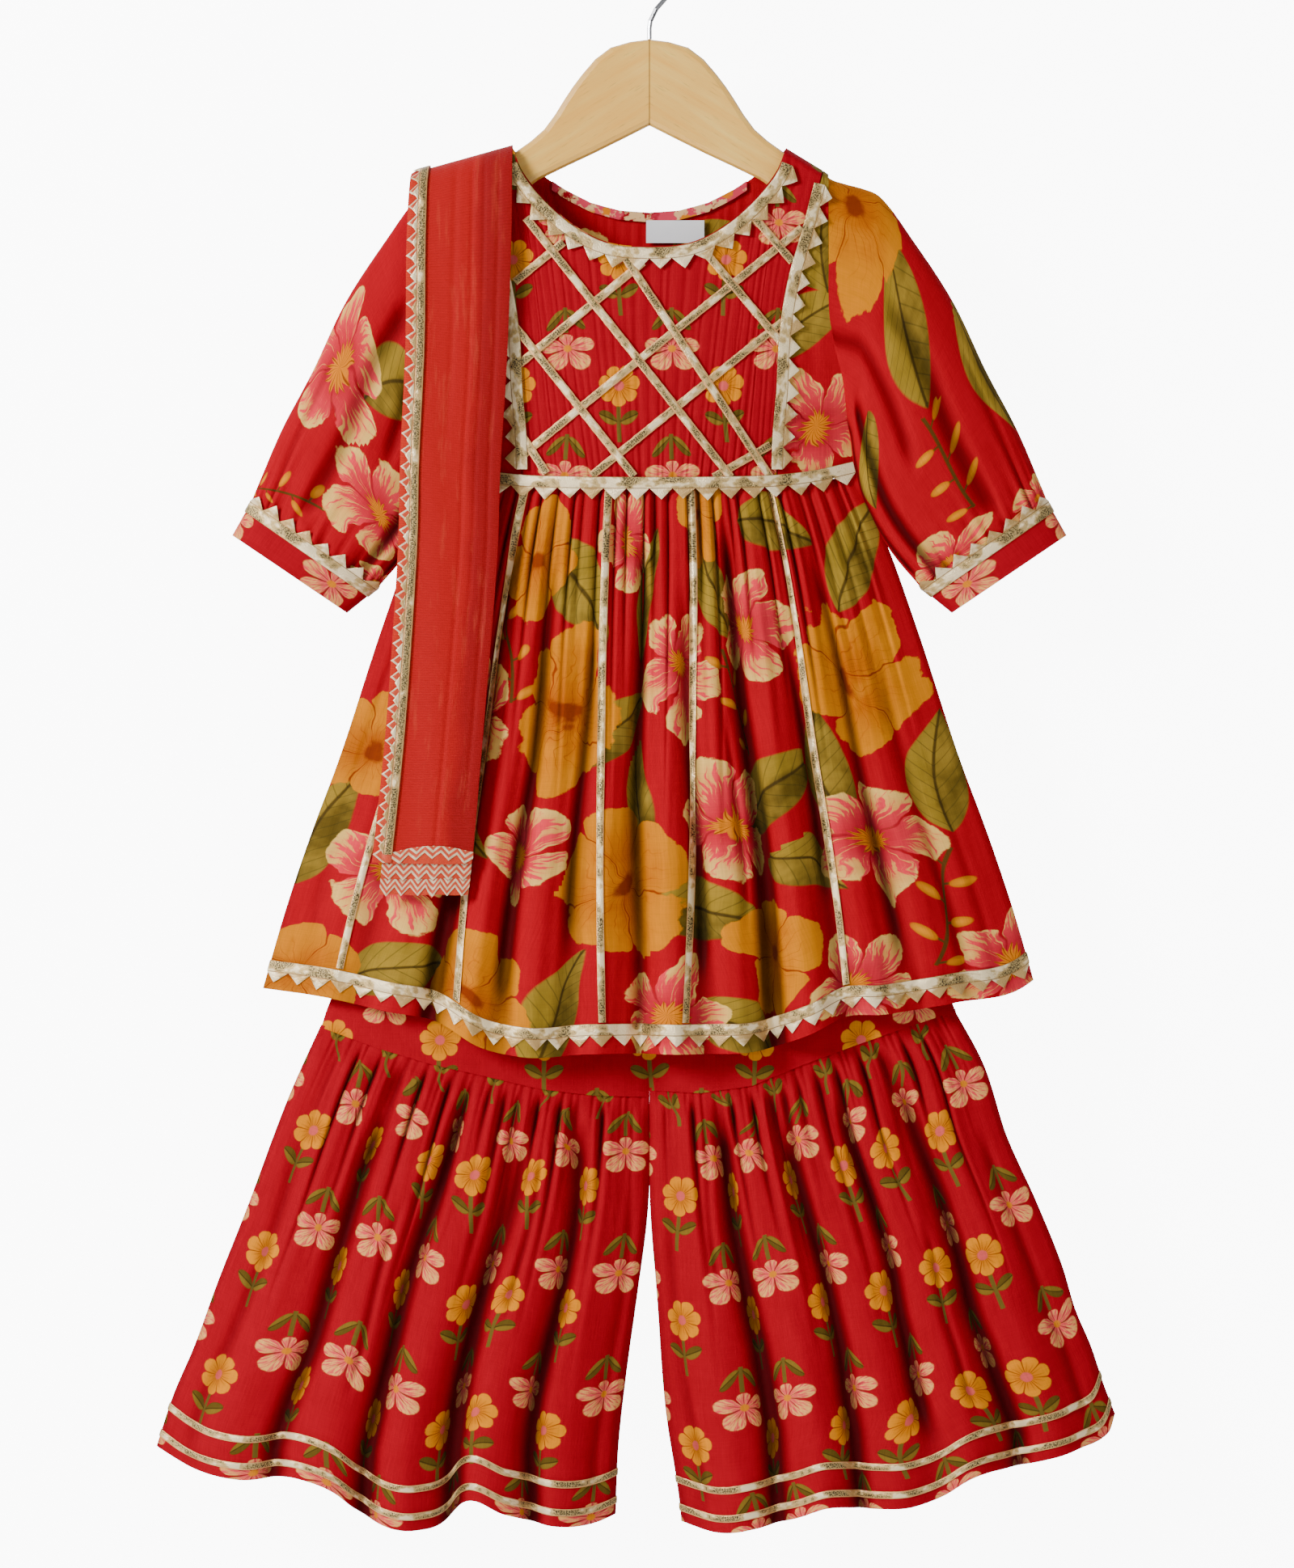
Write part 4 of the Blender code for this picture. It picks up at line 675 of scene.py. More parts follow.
def sprig_print():
    """Deep red lawn printed with upright yellow sprigs and hanging pink ones, drawn with brown lines."""
    made, tree, shader = finish_of("printed_lawn_sprigs", 0.74, sheen=0.03, gloss=0.06)
    flat = add(tree, "UVMap", uv_map="flat")
    mark = add(tree, "Attribute", attribute_name="sprig", output=1)
    u, v, kind = (add(tree, "SeparateXYZ", mark, output=i) for i in range(3))
    blotch = add(tree, "TexNoise", flat, 60.0, 2.0)
    grain = add(tree, "TexNoise", flat, 500.0, 2.0)
    ground = add(tree, "Mix", blotch, srgb("#9a0016"), srgb("#a6001a"), data_type="RGBA")
    hangs = add(tree, "GREATER_THAN", kind, 1.5)
    up = add(tree, "MULTIPLY", v, add(tree, "MULTIPLY_ADD", hangs, -2.0, 1.0))
    lean = add(tree, "SUBTRACT", u, add(tree, "MULTIPLY", add(tree, "MULTIPLY", up, up), 0.05))
    wide = add(tree, "ABSOLUTE", lean)

    # Stem from the flower's foot to the end, and one pair of leaves on it
    stem = add(tree, "MULTIPLY", add(tree, "MapRange", wide, 0.034, 0.052, 1.0, 0.0),
               add(tree, "MULTIPLY", add(tree, "LESS_THAN", up, 0.15),
                   add(tree, "GREATER_THAN", up, add(tree, "MULTIPLY_ADD", hangs, 0.3, -0.66))))
    leaf_u = add(tree, "SUBTRACT", wide, 0.21)
    leaf_v = add(tree, "ADD", up, add(tree, "MULTIPLY_ADD", hangs, -0.06, 0.17))
    slope = add(tree, "MULTIPLY_ADD", hangs, -0.5, -0.45)
    leaf_v = add(tree, "ADD", leaf_v, add(tree, "MULTIPLY", leaf_u, slope))
    round_leaf = add(tree, "ADD", add(tree, "POWER", add(tree, "DIVIDE", add(tree, "ABSOLUTE", leaf_u), 0.19), 2.0),
                     add(tree, "POWER", add(tree, "DIVIDE", add(tree, "ABSOLUTE", leaf_v), 0.135), 1.6))
    leaf_mask = add(tree, "MapRange", round_leaf, 1.0, 0.8, 0.0, 1.0)
    green = add(tree, "Mix", add(tree, "MapRange", leaf_v, -0.03, 0.03, 0.0, 1.0), srgb("#7c6220"), srgb("#5c4816"),
                data_type="RGBA")
    leaf_vein = add(tree, "MapRange", add(tree, "ABSOLUTE", leaf_v), 0.008, 0.02, 0.8, 0.0)
    leaf_rim = add(tree, "MapRange", round_leaf, 0.7, 0.95, 0.0, 0.6)
    green = add(tree, "Mix", add(tree, "MAXIMUM", leaf_vein, leaf_rim), green, srgb("#35270a"), data_type="RGBA")
    tone = add(tree, "Mix", stem, ground, srgb("#66541f"), data_type="RGBA")
    tone = add(tree, "Mix", leaf_mask, tone, green, data_type="RGBA")

    # Flower: seven rounded petals, or for the hanging one five pointed petals spread sideways
    flower_v = add(tree, "SUBTRACT", up, 0.46)
    squeeze = add(tree, "MULTIPLY_ADD", hangs, -0.14, 1.0)
    flower_u = add(tree, "MULTIPLY", lean, squeeze)
    radius = add(tree, "SQRT", add(tree, "ADD", add(tree, "MULTIPLY", flower_u, flower_u),
                                   add(tree, "MULTIPLY", flower_v, flower_v)))
    radius = add(tree, "MULTIPLY_ADD", add(tree, "SUBTRACT", grain, 0.5), 0.03, radius)
    radius = add(tree, "DIVIDE", radius, 0.42)
    angle = add(tree, "ARCTAN2", flower_u, flower_v)
    sway = add(tree, "MULTIPLY", add(tree, "SUBTRACT", blotch, 0.5), 0.3)

    across, inner = petals(tree, radius, angle, 7, 0.70, sway)
    yellow = add(tree, "Mix", add(tree, "MapRange", radius, 0.1, 0.75, 0.0, 1.0), srgb("#b86200"), srgb("#de8600"),
                 data_type="RGBA")
    line = add(tree, "MapRange", add(tree, "ABSOLUTE", add(tree, "SUBTRACT", add(tree, "ABSOLUTE", across), 0.22)),
               0.03, 0.07, 0.5, 0.0)
    line = add(tree, "MULTIPLY", line, add(tree, "MapRange", radius, 0.75, 0.35, 0.0, 1.0))
    gap = add(tree, "MapRange", add(tree, "ABSOLUTE", across), 0.44, 0.48, 0.0, 0.85)
    yellow = add(tree, "Mix", add(tree, "MAXIMUM", line, gap), yellow, srgb("#742a08"), data_type="RGBA")
    yellow = add(tree, "Mix", add(tree, "MapRange", radius, 0.26, 0.2, 0.0, 1.0), yellow, srgb("#d0524e"),
                 data_type="RGBA")
    yellow_mask = add(tree, "MULTIPLY", add(tree, "MapRange", inner, 0.0, 0.05, 0.0, 1.0),
                      add(tree, "SUBTRACT", 1.0, hangs))
    tone = add(tree, "Mix", yellow_mask, tone, yellow, data_type="RGBA")

    # Its petals below are longest, the one on the stem is short
    fuller = add(tree, "MULTIPLY_ADD", add(tree, "COSINE", angle), 0.22, 0.92)
    fuller = add(tree, "MULTIPLY_ADD", add(tree, "POWER", add(tree, "SINE", angle), 2.0), 0.28, fuller)
    five, inside = petals(tree, add(tree, "DIVIDE", radius, fuller), angle, 5, 0.22, sway)
    streak = add(tree, "TexNoise", add(tree, "CombineXYZ", add(tree, "MULTIPLY", five, 14.0),
                                       add(tree, "MULTIPLY", radius, 2.5), add(tree, "FLOOR", angle)), 1.0, 2.0)
    rosy = add(tree, "MapRange", add(tree, "MULTIPLY_ADD", radius, -0.22, streak), 0.26, 0.42, 0.0, 1.0)
    pale = add(tree, "Mix", rosy, srgb("#eaa85c"), srgb("#e04a4e"), data_type="RGBA")
    rib_line = add(tree, "MULTIPLY", add(tree, "MapRange", add(tree, "ABSOLUTE", five), 0.02, 0.05, 0.7, 0.0),
                   add(tree, "MapRange", radius, 0.75, 0.5, 0.0, 1.0))
    crease_line = add(tree, "MAXIMUM", rib_line, add(tree, "MapRange", add(tree, "ABSOLUTE", five), 0.40, 0.46, 0.0, 0.9))
    pale = add(tree, "Mix", crease_line, pale, srgb("#6c1014"), data_type="RGBA")
    pale = add(tree, "Mix", add(tree, "MapRange", radius, 0.2, 0.13, 0.0, 1.0), pale, srgb("#d67e10"),
               data_type="RGBA")
    pink_mask = add(tree, "MULTIPLY", add(tree, "MapRange", inside, 0.0, 0.05, 0.0, 1.0), hangs)
    tone = add(tree, "Mix", pink_mask, tone, pale, data_type="RGBA")
    lawn(tree, shader, tone, flat)
    return made


def side_x(z):
    """Half width of the yoke at a height: the armhole seam, then the side seam."""
    return smooth(column(SIDE_SEAM["z"]), column(SIDE_SEAM["x"]), z)


def princess_x(z):
    """Distance of the princess seam from the centre line at a height."""
    return smooth(column(PRINCESS_SEAM["z"]), column(PRINCESS_SEAM["x"]), z)


def shoulder_z(x):
    """Height of the line along the hanger's arm that the yoke hangs from."""
    (x0, _, x1), (z0, _, z1) = column(SHOULDER["x"]), column(SHOULDER["z"])
    return z0 + (z1 - z0) / (x1 - x0) * (np.abs(x) - x0)


def yoke_y(x, z, face):
    """Depth of the yoke: the armhole's depth at the edges, a lens between, rounded over the shoulder."""
    middle = smooth(column(YOKE_DEPTH["z"]), column(YOKE_DEPTH[face]), z)
    share = np.clip((ARMHOLE_TOP - z) / (ARMHOLE_TOP - ARMHOLE_FOOT), 0.5, 1)
    edge = SEAM_EDGE + 12.3 * MM * np.sin(math.pi * share) ** 0.5
    depth = edge + (middle - edge) * lens(np.abs(x) / side_x(z))
    below = np.clip((shoulder_z(x) - z) / (7 * MM), 0, 1)
    depth = SEAM_EDGE + (depth - SEAM_EDGE) * np.sqrt(1 - (1 - below) ** 2)
    return -depth if face == "front" else depth


def on_yoke(x, z, face, lift=0.0):
    """Points of the yoke's surface at x and z, moved out by lift."""
    y = yoke_y(x, z, face)
    return np.stack([x, y + np.sign(y) * lift, z], axis=-1)


def neckline(neck, columns, end_x):
    """The neck curve and shoulder, evenly spaced from side to side."""
    near = [x for x in SHOULDER["x"][1:] if x * MM <= end_x]
    half_x = np.concatenate([column(neck["x"]), column(near), [end_x]])
    half_z = np.concatenate([column(neck["z"]), shoulder_z(column(near)) if near else [], [shoulder_z(end_x)]])
    fine = np.linspace(0, len(neck["x"]) - 1, 80)
    steps = np.arange(len(neck["x"]))
    half_x = np.concatenate([smooth(steps, half_x[:len(steps)], fine), half_x[len(steps):]])
    half_z = np.concatenate([smooth(steps, half_z[:len(steps)], fine), half_z[len(steps):]])
    length = np.concatenate([[0], np.cumsum(np.hypot(np.diff(half_x), np.diff(half_z)))])
    keep = np.concatenate([[True], np.diff(length) > 0.01 * MM])
    along = np.linspace(-1, 1, columns + 1)
    x = np.interp(np.abs(along) * length[-1], length[keep], half_x[keep]) * np.sign(along)
    return x, np.interp(np.abs(along) * length[-1], length[keep], half_z[keep])


def yoke_panel(name, neck, face, columns, rows, edge, material, marks, node):
    """A panel between the neckline and the waist whose sides follow a seam, crimped in fine uneven lines."""
    end_x = float(edge(ARMHOLE_TOP + 1 * MM)) - 0.3 * MM
    top_x, top_z = neckline(neck, columns, end_x)
    place = np.linspace(-1, 1, columns + 1)
    foot_x = place * (float(edge(waist_z(end_x))) - 0.15 * MM)
    down = np.linspace(0, 1, rows + 1)[:, None] ** 1.25
    z = mix(top_z, waist_z(foot_x), down)
    x = mix(top_x, foot_x, down)
    x = x + place ** 5 * (edge(z) - 0.35 * MM - np.abs(x[:, -1:]))
    points = on_yoke(x, z, face)
    crimp = gathering(place * 17 + 0.12 * np.sin(4 * down), 3) * (0.45 + 0.75 * np.abs(down - 0.45))
    points[..., 1] += np.sign(points[..., 1]) * YOKE_CRIMP * crimp * (1 - place ** 8) * np.clip(down / 0.06, 0, 1)
    sense = -1 if face == "front" else 1
    made = surface(name, points, np.stack([x, z], axis=-1), (0, sense, 0), [node], marks)
    made[0].data.materials.append(material)
    return made


def yoke_side(name, side, node):
    """The narrow panel between the princess seam and the armhole, with a few soft pulls."""
    down = np.linspace(0, 1, 90)[:, None] ** 1.2
    across = np.linspace(0, 1, 24)
    x = mix(princess_x(mix(shoulder_z(110 * MM), waist_z(103 * MM), down)) + 0.35 * MM,
            side_x(mix(shoulder_z(110 * MM), waist_z(103 * MM), down)), across)
    z = mix(shoulder_z(x), waist_z(x), down)
    x = mix(princess_x(z) + 0.35 * MM, side_x(z), across)
    points = on_yoke(side * x, z, "front")
    points[..., 1] -= 0.6 * MM * wobble(9 * across + 5 * down, 2) * np.sin(math.pi * across) * np.clip(down / 0.1, 0, 1)
    made = surface(name, points, np.stack([side * x, z], axis=-1), (0, -1, 0), [node],
                   printed({"flower": SIDE_FLOWERS, "leaf": SIDE_LEAVES}))
    made[0].data.materials.append(GARDEN_LAWN)
    return made


SPRIG_LAWN = sprig_print()
yoke_panel("yoke_front_cloth", NECK_FRONT, "front", 260, 110, princess_x, SPRIG_LAWN,
           printed({"sprig": sprigs((-190, -420), (190, -110), (46, 13))}), "yoke_front")
yoke_panel("yoke_back_cloth", NECK_BACK, "back", 150, 90, side_x, GARDEN_LAWN,
           printed({"flower": BACK_FLOWERS, "leaf": BACK_LEAVES}), "yoke_back")
yoke_side("yoke_side_left_cloth", -1, "yoke_side_left")
yoke_side("yoke_side_right_cloth", 1, "yoke_side_right")


# Neck facing and label.
# A bias strip of the garden lawn binds the back neck inside; a blank white satin label hangs from it.

def facing_lawn():
    """The strip's share of the garden print: rose, cream and orange patches on red."""
    made, tree, shader = finish_of("facing_lawn", 0.75, sheen=0.03, gloss=0.06)
    place = add(tree, "TexCoord", output=3)
    patch = add(tree, "TexNoise", place, 38.0, 3.0, 0.6)
    streak = add(tree, "TexNoise", place, 160.0, 3.0, 0.6)
    tone = add(tree, "Mix", add(tree, "MapRange", patch, 0.46, 0.5, 0.0, 1.0), srgb("#96001a"), srgb("#d23c52"),
               data_type="RGBA")
    tone = add(tree, "Mix", add(tree, "MapRange", streak, 0.52, 0.58, 0.0, 0.9), tone, srgb("#e9bf84"),
               data_type="RGBA")
    tone = add(tree, "Mix", add(tree, "MapRange", patch, 0.62, 0.64, 0.0, 1.0), tone, srgb("#d67c06"),
               data_type="RGBA")
    tree.links.new(tone, shader.inputs["Base Color"])
    tree.links.new(add(tree, "Bump", 0.3, 0.0003, None, streak), shader.inputs["Normal"])
    return made


def label_satin():
    """White woven satin: close ribs along the label and a soft gloss."""
    made, tree, shader = finish_of("label_satin", 0.42, sheen=0.2)
    place = add(tree, "TexCoord", output=3)
    ribs = add(tree, "TexWave", place, 1400.0, 0.5, bands_direction="Z")
    tone = add(tree, "Mix", ribs, srgb("#e9e9ec"), srgb("#f7f7f9"), data_type="RGBA")
    tree.links.new(tone, shader.inputs["Base Color"])
    tree.links.new(add(tree, "Bump", 0.2, 0.0002, None, ribs), shader.inputs["Normal"])
    return made


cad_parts["neck_facing"].material_slots[0].material = facing_lawn()
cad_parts["neck_label"].material_slots[0].material = label_satin()


# Sleeves and cuffs.
# Puffed elbow sleeves of garden lawn, eased into the armhole and gathered into straight cuffs of sprig lawn.

SLEEVE_SECTION = {"outer_x": (118, 142, 164, 188, 208, 227, 241, 246.2),
                  "outer_z": (-153.5, -166, -195, -232, -274, -310, -342.5, -355.05),
                  "inner_x": (123.5, 124.5, 126.5, 131.5, 140, 151.5, 163.7, 168.6),
                  "inner_z": (-306, -318, -334, -353, -371, -389, -403.5, -409.15),
                  "depth": (12.5, 15, 17, 18, 18, 16, 12.8, 10.9)}
CUFF_SECTION = {"outer_x": (246.5, 258), "outer_z": (-355.5, -376), "inner_x": (169, 187),
                "inner_z": (-409.5, -424), "depth": (11.5, 12.5)}
SLEEVE_FLAT = (260, 250)
# Soft folds of the sleeve: share round it, width, depth in mm, start and end down it
SLEEVE_CREASES = {"at": (0.10, 0.20, 0.29, 0.38, 0.46, 0.60, 0.75, 0.90), "width": (0.012, 0.02, 0.014, 0.018, 0.02, 0.02, 0.02, 0.02),
                  "depth": (2.4, 4.4, 3.6, 6.2, 5.6, 4.4, 4.0, 3.5), "start": (0.45, 0.2, -0.1, 0.1, -0.1, 0.2, 0.3, 0.4),
                  "end": (1.1, 0.9, 0.6, 1.1, 0.9, 1.0, 1.1, 0.9)}
SLEEVE_PRINTS = {
    "left": {"flower": ((30, -128, 37, 10, BLOSSOM), (86, -170, 36, 50, BLOSSOM), (120, -60, 30, 0, SUNNY),
                        (205, -60, 42, 30, SUNNY), (190, -170, 36, 10, BLOSSOM), (118, -232, 30, 20, BLOSSOM)),
             "leaf": ((58, -36, 38, -80, LEAF), (30, -212, 34, 15, BUDS), (70, -96, 34, 60, LEAF),
                      (160, -110, 38, 60, LEAF), (230, -130, 36, 100, LEAF), (235, -210, 34, 70, BUDS))},
    "right": {"flower": ((26, -22, 42, 20, SUNNY), (88, -226, 36, 40, BLOSSOM), (205, -70, 38, 30, BLOSSOM),
                         (190, -180, 42, 10, SUNNY), (20, -236, 28, 10, BLOSSOM)),
              "leaf": ((44, -86, 42, -70, LEAF), (8, -142, 38, -90, LEAF), (62, -160, 36, 80, BUDS),
                       (100, -100, 34, -70, LEAF), (150, -60, 36, 80, LEAF), (225, -130, 36, 60, LEAF),
                       (240, -220, 34, 90, LEAF))},
}


def tube(section, around, rows):
    """Rings round the line between a section's outer and inner points: turn 0 is the outer one, a quarter the front."""
    share = np.linspace(0, 1, rows + 1)
    at = share * (len(section["depth"]) - 1)
    steps = np.arange(len(section["depth"]))
    held = {key: smooth(steps, column(values), at)[:, None] for key, values in section.items()}
    turn = np.arange(around) / around * 2 * math.pi
    upper = (1 + np.cos(turn)) / 2
    x = mix(held["inner_x"], held["outer_x"], upper)
    z = mix(held["inner_z"], held["outer_z"], upper)
    return share[:, None], turn, x, z, held["depth"]


def sleeve(side_name, side):
    """A puffed sleeve: the armhole's own outline at its head, folds down it and gathers at the cuff."""
    share, turn, x, z, depth = tube(SLEEVE_SECTION, 160, 90)
    head = np.clip(share * 7, 0, 1)
    head = head * head * (3 - 2 * head)
    armhole_x = side_x(z[0]) - 0.6 * MM
    armhole_y = np.where(np.abs(np.sin(turn)) < 0.01, 0, yoke_y(side_x(z[0]), z[0], "back"))
    place = turn / (2 * math.pi)
    folds = creases(SLEEVE_CREASES, place, share) + 0.3 * MM * wobble(60 * place, 2) * head
    gathers = 2.6 * MM * np.clip((share - 0.62) / 0.3, 0, 1) ** 1.5 * gathering(place * 26, 6)
    puff = depth - folds + gathers * np.clip((1 - share) / 0.03, 0.3, 1)
    y = -np.sin(turn) * puff
    x = mix(armhole_x, x, head)
    y = mix(-np.sign(np.sin(turn)) * armhole_y, y, head)
    flat = np.stack([place * SLEEVE_FLAT[0] * MM + 0 * share, -share * SLEEVE_FLAT[1] * MM + 0 * place], axis=-1)
    # Deep crease lines give the hollow where the lawn paints shade
    made = surface(f"sleeve_{side_name}_cloth", np.stack([side * x, y, z], axis=-1), flat, None,
                   [f"sleeve_{side_name}"], printed(SLEEVE_PRINTS[side_name]),
                   np.clip(folds / (5 * MM) - 0.15 - gathers / (4 * MM), 0, 1) * (x > 0))
    made[0].data.materials.append(GARDEN_LAWN)
    return made


def cuff(side_name, side):
    """A straight cuff with a stitched foot, slightly waved."""
    share, turn, x, z, depth = tube(CUFF_SECTION, 160, 14)
    y = -np.sin(turn) * (depth + 0.25 * MM * wobble(turn * 4, 1) - 0.3 * MM * np.exp(-((share - 0.88) / 0.05) ** 2))
    flat = np.stack([turn / (2 * math.pi) * 195 * MM + 0 * share, -share * 24 * MM + 0 * turn], axis=-1)
    made = surface(f"cuff_{side_name}_cloth", np.stack([side * x, y, z], axis=-1), flat, None,
                   [f"cuff_{side_name}"], printed({"sprig": sprigs((-80, -90), (260, 60), (34, -51))}))
    made[0].data.materials.append(SPRIG_LAWN)
    return made


SLEEVES = {name: sleeve(name, side) for name, side in (("left", -1), ("right", 1))}
CUFFS = {name: cuff(name, side) for name, side in (("left", -1), ("right", 1))}


# Sharara.
# Two flared legs of sprig lawn: plain upper legs on an elasticated band, and deep flares gathered
# to them at the knee seams, whose close gathers open into a few broad folds.

BAND_TOP, BAND_FOOT, BAND_HALF_WIDTH = -356 * MM, -374 * MM, 104 * MM
CROTCH = -556 * MM
KNEE_PARTS = 6
UPPER_EDGE = {"z": (-730, -670, -620, -560, -480, -420, -374), "x": (216, 193, 177, 160, 136, 117, 103),
              "front": (9, 9, 9, 11, 13, 15, 16), "back": (9, 9, 9, 11, 12, 12.5, 12.5)}
LEGS = {
    "left": {
        "side": -1,
        "knee": {"x": (2, 42, 68, 95, 122, 146, 172, 203),
                 "z": (-723, -721.5, -718, -711.5, -706, -699.5, -691.5, -680)},
        "hem": {"x": (20, 30, 58, 87, 113, 124, 140, 159, 178, 190, 214, 250, 277, 301),
                "z": (-981, -985, -987, -979, -972, -983.5, -988, -986, -976, -966, -957, -958, -952, -939)},
        "outer": {"z": (-940, -927, -909, -876, -840, -795, -715, -676),
                  "x": (305, 301, 295, 281, 268, 250.5, 221, 204)},
        "inner": {"z": (-985, -938, -893, -846, -795, -715), "x": (21, 19, 14, 7.5, 1.0, 0)},
        "ridges": {"at": (0.10, 0.27, 0.46, 0.63, 0.84), "width": (0.06, 0.07, 0.06, 0.07, 0.07),
                   "depth": (5.5, 9.5, 10.0, 8.5, 6.0)},
        "creases": {"at": (0.04, 0.185, 0.36, 0.545, 0.735, 0.92, 0.30, 0.62),
                    "width": (0.014, 0.024, 0.028, 0.024, 0.026, 0.018, 0.012, 0.012),
                    "depth": (2.6, 8.0, 9.6, 7.8, 7.4, 3.2, 3.0, 2.6),
                    "start": (0.2, 0.05, 0.08, 0.03, 0.12, 0.2, 0.1, 0.3), "end": (1.0, 1.1, 1.1, 1.1, 1.1, 1.0, 0.6, 0.8)},
    },
    "right": {
        "side": 1,
        "knee": {"x": (2, 28, 54, 84, 107, 137, 153, 189),
                 "z": (-719, -720.5, -718.5, -708.5, -697.5, -688, -682, -670)},
        "hem": {"x": (20, 40, 66, 90, 107, 136, 162, 180, 193, 233, 260, 281, 287),
                "z": (-985.5, -991, -988, -981.5, -975, -975.5, -973.5, -966.5, -958, -948, -940, -928, -919)},
        "outer": {"z": (-930, -918, -901, -877, -856, -828, -788, -749, -700, -670),
                  "x": (292, 287.5, 281, 273, 264, 255.5, 239.5, 222, 206, 190)},
        "inner": {"z": (-990, -978, -917, -845, -795, -715), "x": (20, 19, 10, 4.5, 0.6, 0)},
        "ridges": {"at": (0.12, 0.33, 0.50, 0.66, 0.86), "width": (0.07, 0.06, 0.06, 0.07, 0.06),
                   "depth": (8.0, 9.5, 7.0, 9.5, 6.0)},
        "creases": {"at": (0.05, 0.225, 0.415, 0.58, 0.76, 0.93, 0.16, 0.69),
                    "width": (0.014, 0.028, 0.022, 0.022, 0.026, 0.016, 0.012, 0.012),
                    "depth": (3.0, 9.4, 7.0, 7.4, 8.4, 3.2, 2.6, 2.6),
                    "start": (0.25, 0.04, 0.1, 0.06, 0.08, 0.25, 0.05, 0.4), "end": (1.0, 1.1, 1.1, 0.9, 1.1, 1.0, 0.5, 0.9)},
    },
}
FLARE_DEPTH = {"z": (-990, -900, -800, -720, -660), "front": (23, 19, 14, 11, 10), "back": (20, 17, 13, 10, 9)}
FLARE_GATHERS = {"front": 15, "back": 11}
KNEE_GATHER = 4.6 * MM
FLARE_DROP = 275 * MM
FLARE_CUT = 400 * MM


def waistband():
    """An oval band drawn up by elastic in close even gathers."""
    turn = (np.arange(240) + 0.5) / 240 * 2 * math.pi
    share = np.linspace(0, 1, 12)[:, None]
    x = BAND_HALF_WIDTH * np.cos(turn)
    middle_z = (BAND_TOP + BAND_FOOT) / 2
    front, back = (smooth(column(SKIRT_SECTION["z"]), column(SKIRT_SECTION[face]), middle_z) for face in ("front", "back"))
    depth = PANEL_EDGE + np.where(np.sin(turn) > 0, front, back) * lens(x / skirt_edge(middle_z)) - 6.6 * MM
    drawn = 0.5 * MM * np.cos(60 * turn) * np.sin(math.pi * share) ** 0.5
    y = -np.sign(np.sin(turn)) * (depth - 0.5 * MM) - drawn * np.sin(turn)
    z = mix(BAND_TOP, BAND_FOOT, share)
    flat = np.stack([turn / (2 * math.pi) * 0.4 + 0 * share, -share * 0.018 + 0 * turn], axis=-1)
    made = surface("sharara_waistband_cloth", np.stack([x + 0 * share, y, z + 0 * x], axis=-1), flat, None,
                   ["sharara_waistband"], printed({"sprig": sprigs((-10, -90), (410, 60))}))
    made[0].data.materials.append(SPRIG_LAWN)


def knee_line(leg, x):
    """Height of the knee seam."""
    parts = np.linspace(leg["knee"]["x"][0], leg["knee"]["x"][-1], KNEE_PARTS + 1) * MM
    return np.interp(x, parts, smooth(column(leg["knee"]["x"]), column(leg["knee"]["z"]), parts))


def upper_leg(leg_name, face):
    """A plain upper leg panel from the band to the knee seam, with a stitched seam line at its foot."""
    leg = LEGS[leg_name]
    sense = -1 if face == "front" else 1
    across = np.linspace(0, 1, 61)
    down = np.linspace(0, 1, 71)[:, None]
    first, last = leg["knee"]["x"][0] * MM, leg["knee"]["x"][-1] * MM
    knee_x = mix(first, last, across)
    z = mix(BAND_FOOT - 0.3 * MM, knee_line(leg, knee_x) - 0.2 * MM, down)
    edge = smooth(column(UPPER_EDGE["z"]), column(UPPER_EDGE["x"]), z)
    edge = edge + (last - 191 * MM) * np.clip((CROTCH - z) / (CROTCH + 670 * MM), 0, 1)
    x = mix(0, edge, across)
    open_front = np.clip((z - CROTCH) / (45 * MM), 0, 1)
    full = mix(lens(2 * across - 1), lens(across), open_front)
    seam = 0.5 * MM * np.exp(-((down - 0.985) / 0.008) ** 2)
    soft = 0.5 * MM * wobble(11 * across + 4 * down, 4) * np.sin(math.pi * across) * np.clip((1 - down) / 0.05, 0, 1)
    depth = PANEL_EDGE + smooth(column(UPPER_EDGE["z"]), column(UPPER_EDGE[face]), z) * full - seam + soft
    x = x + down ** 3 * (mix(0, last, across) - x[-1])
    inside = turned_in(depth, across)
    depth = mix(inside, turned_in(depth, 1 - across), np.where(across > 0.5, 1, np.clip((z - CROTCH) / (12 * MM) + 1, 0, 1)))
    points = np.stack([leg["side"] * x, sense * depth, z], axis=-1)
    made = surface(f"upper_{face}_{leg_name}_cloth", points, np.stack([leg["side"] * x, z], axis=-1), (0, sense, 0),
                   [f"upper_{face}_{leg_name}"], printed({"sprig": sprigs((-260, -800), (260, -340))}))
    made[0].data.materials.append(SPRIG_LAWN)


def first_sprig(leg_name):
    """Where the cut of a leg's flare starts on the printed cloth."""
    return {"left": 14 * MM, "right": -22 * MM}[leg_name]


